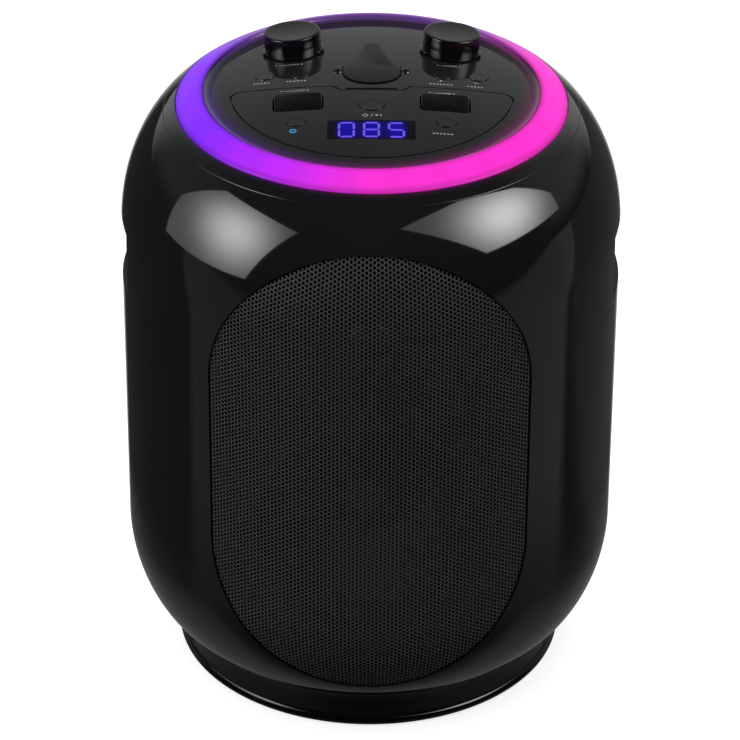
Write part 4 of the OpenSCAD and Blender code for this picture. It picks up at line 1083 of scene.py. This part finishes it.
def device_rest():
    """Hinged rest: an oval pad on an arm, with the drum that turns on its pin."""
    outline = rest_outline(0.0)
    arm_end = len(outline) - 17
    arm = prism(eased(outline, {arm_end - 1: 0.9, arm_end: 0.9}), REST_PROUD - REST_T, REST_PROUD - 0.1)
    face = max(arm.faces, key=lambda f: f.normal.z)
    bmesh.ops.bevel(arm, geom=face.edges[:], offset=0.12, segments=2, profile=0.5, affect="EDGES", material=-1)
    pad_curve = [(k / 12, 0.34 * (1 - (k / 12) ** 2)) for k in range(13)]
    pad = revolved(pad_curve + [(1, -0.6), (0, -0.6)], 96, False)
    to = Matrix.Translation((0, -REST_SHIFT, REST_PROUD - 0.12))
    to = to @ Matrix.Diagonal((REST_HALF_W - 0.6, REST_HALF_LEN - 0.6, 1, 1))
    drum = rest_drum(REST_PIN_DEPTH + REST_PROUD - 0.15, REST_HALF_W)
    at_rest = on_dome(0, REST_Y)
    body = moved(joined(arm, drum), at_rest)
    piece("rest_body", body, arm_gloss, "rest", ["rest_arm"], walls=PAINTED_SHADE_WALLS)
    piece("rest_pad", moved(moved(pad, to), at_rest), arm_gloss, "rest", ["rest_arm"])


def pin_ends():
    """Pin of the rest with its two polished round heads."""
    turns = [math.pi / 2 - math.pi * k / 24 for k in range(25)]
    ball = [(REST_HEAD_R * math.cos(t), REST_HEAD_R * math.sin(t)) for t in turns]
    parts = [moved(disc(1.2, -REST_HEAD_X, REST_HEAD_X, 24), Matrix.Rotation(math.pi / 2, 4, "Y"))]
    for side in (-1, 1):
        dimple = [(0.0, REST_HEAD_R - 0.6), (0.7, REST_HEAD_R - 0.45)]
        head = revolved(dimple + [point for point in ball if point[0] > 1.1 or point[1] < 0], 48, False)
        to = Matrix.Translation((side * REST_HEAD_X, 0, 0)) @ Matrix.Rotation(side * math.pi / 2, 4, "Y")
        parts.append(moved(head, to))
    to = on_dome(0, REST_Y) @ Matrix.Translation((0, 0, -REST_PIN_DEPTH))
    piece("rest_pin_heads", moved(joined(*parts), to), pin_gloss, "cabinet", ["rest_pin"])


# ---- display and printed marks
def window_pane():
    """The smoked window over the display."""
    frame_cut = opening(round_rect(WINDOW_W, WINDOW_H, 0.7), 0, -WINDOW_Y)
    pane = carved(dome_slab(COVE_R, -0.06, -1.15), frame_cut, "INTERSECT")
    piece("window_pane", pane, window_glass, "cabinet", ["display_window"], dome_normal)


def bar(width, height, x=0.0, y=0.0):
    """Outline of a small bar about a place."""
    return [(x + sx * width / 2, y + sy * height / 2) for sx, sy in ((-1, -1), (1, -1), (1, 1), (-1, 1))]


def band(radius, width, start, end, steps=20):
    """Outline of an arc of a ring, angles in degrees."""
    turns = [math.radians(start + (end - start) * k / steps) for k in range(steps + 1)]
    outer = [((radius + width / 2) * math.cos(t), (radius + width / 2) * math.sin(t)) for t in turns]
    inner = [((radius - width / 2) * math.cos(t), (radius - width / 2) * math.sin(t)) for t in turns]
    return outer + inner[::-1]


def printed(outline, x, y):
    """A shape as thin as ink, on the panel."""
    return moved(prism(outline, -0.03, 0.03), on_dome(x, y))


# Lit strokes of a digit: middle x, middle y, upright or not, in shares of the digit's half sizes
STROKES = {
    "top": (0, 1, False), "middle": (0, 0, False), "bottom": (0, -1, False),
    "left_high": (-1, 0.5, True), "left_low": (-1, -0.5, True),
    "right_high": (1, 0.5, True), "right_low": (1, -0.5, True),
}
DIGITS = {
    0: ["top", "bottom", "left_high", "left_low", "right_high", "right_low"],
    8: list(STROKES),
    5: ["top", "middle", "bottom", "left_high", "right_low"],
}


def lit_number(digits):
    """The strokes of a number in the display window."""
    half_w, half_h, thick = 3.9, 6.7, 1.25
    strokes = []
    for place, digit in enumerate(digits):
        middle = (place - (len(digits) - 1) / 2) * DIGIT_PITCH
        for name in DIGITS[digit]:
            sx, sy, upright = STROKES[name]
            long, wide = (half_h - 0.55, thick) if upright else (2 * half_w - 0.9, thick * 1.15)
            cut = thick / 2
            shape = [(-long / 2, 0), (-long / 2 + cut, -wide / 2), (long / 2 - cut, -wide / 2)]
            shape += [(-x, -y) for x, y in shape]
            if upright:
                shape = [(-y, x) for x, y in shape]
            strokes.append(printed(shape, middle + sx * half_w, -WINDOW_Y + sy * half_h - 0.25))
    piece("lit_number", joined(*strokes), lit_digit, "cabinet")


def panel_marks():
    """Plain signs where a machine like this carries words: level scales, dots and bars."""
    signs, last = [], 8
    for x, y, width in ((-41.6, -7.3, 15.5), (37.9, -9.8, 14.5), (-45.4, 25.2, 15.5), (42.2, 24.6, 13.5)):
        for k in range(last + 1):
            tall = 0.7 + 1.1 * k / last
            signs.append((bar(0.5, tall, 0, tall / 2 - 0.9), x + (k / last - 0.5) * (width - 5.5), y))
        left, right, flat = x - width / 2 + 0.75, x + width / 2 - 0.75, bar(1.5, 0.45, 0, -0.1)
        signs += [(flat, left, y), (flat, right, y), (bar(0.45, 1.5, 0, -0.1), right, y)]
    rows = ((-59.9, 3.9, 9.5), (-41.1, 4.0, 11.5), (37.5, 0.6, 13.0), (56.0, 0.6, 10.0), (37.9, -52.6, 11.5))
    for x, y, width in rows:
        count = round(width / 1.9)
        signs += [(bar(1.15, 0.95), x + (k - (count - 1) / 2) * 1.9, y) for k in range(count)]
    signs += [
        (dot(0.55), -59.9, 8.0),
        ([(-0.55, -0.7), (0.85, 0.0), (-0.55, 0.7)], -41.2, 7.0),
        (band(0.9, 0.35, 200, 340), 37.5, 4.6),
        (bar(0.8, 1.5), 37.5, 5.0),
        ([(-1.0, -0.7), (0.2, 0.0), (-1.0, 0.7)], 56.6, 5.3),
        ([(0.2, -0.7), (1.4, 0.0), (0.2, 0.7)], 56.6, 5.3),
        (band(1.25, 0.42, 125, 415), -3.3, -36.4),
        (bar(0.42, 1.5), -3.3, -35.3),
        ([(-0.75, -1.3), (-0.35, -1.3), (0.75, 1.3), (0.35, 1.3)], 0.1, -36.3),
        ([(-0.8, -1.1), (1.1, 0.0), (-0.8, 1.1)], 2.9, -36.3),
        (bar(0.5, 2.2), 5.0, -36.3),
    ]
    piece("printed_marks", joined(*(printed(*sign) for sign in signs)), white_ink, "cabinet")
    blue = [printed(band(1.6, 0.6, 0, 360, 32), -41.7, -50.4), printed(bar(0.5, 1.3), -41.7, -50.4)]
    piece("printed_input_mark", joined(*blue), blue_ink, "cabinet")


housing_shell()
base_foot()
top_rings()
perforated_grille()
control_panel()
inlay()
for side in (-1, 1):
    knob(side)
    rocker(side)
for name in KEYS:
    key_cap(name)
device_rest()
pin_ends()
window_pane()
lit_number((0, 8, 5))
panel_marks()
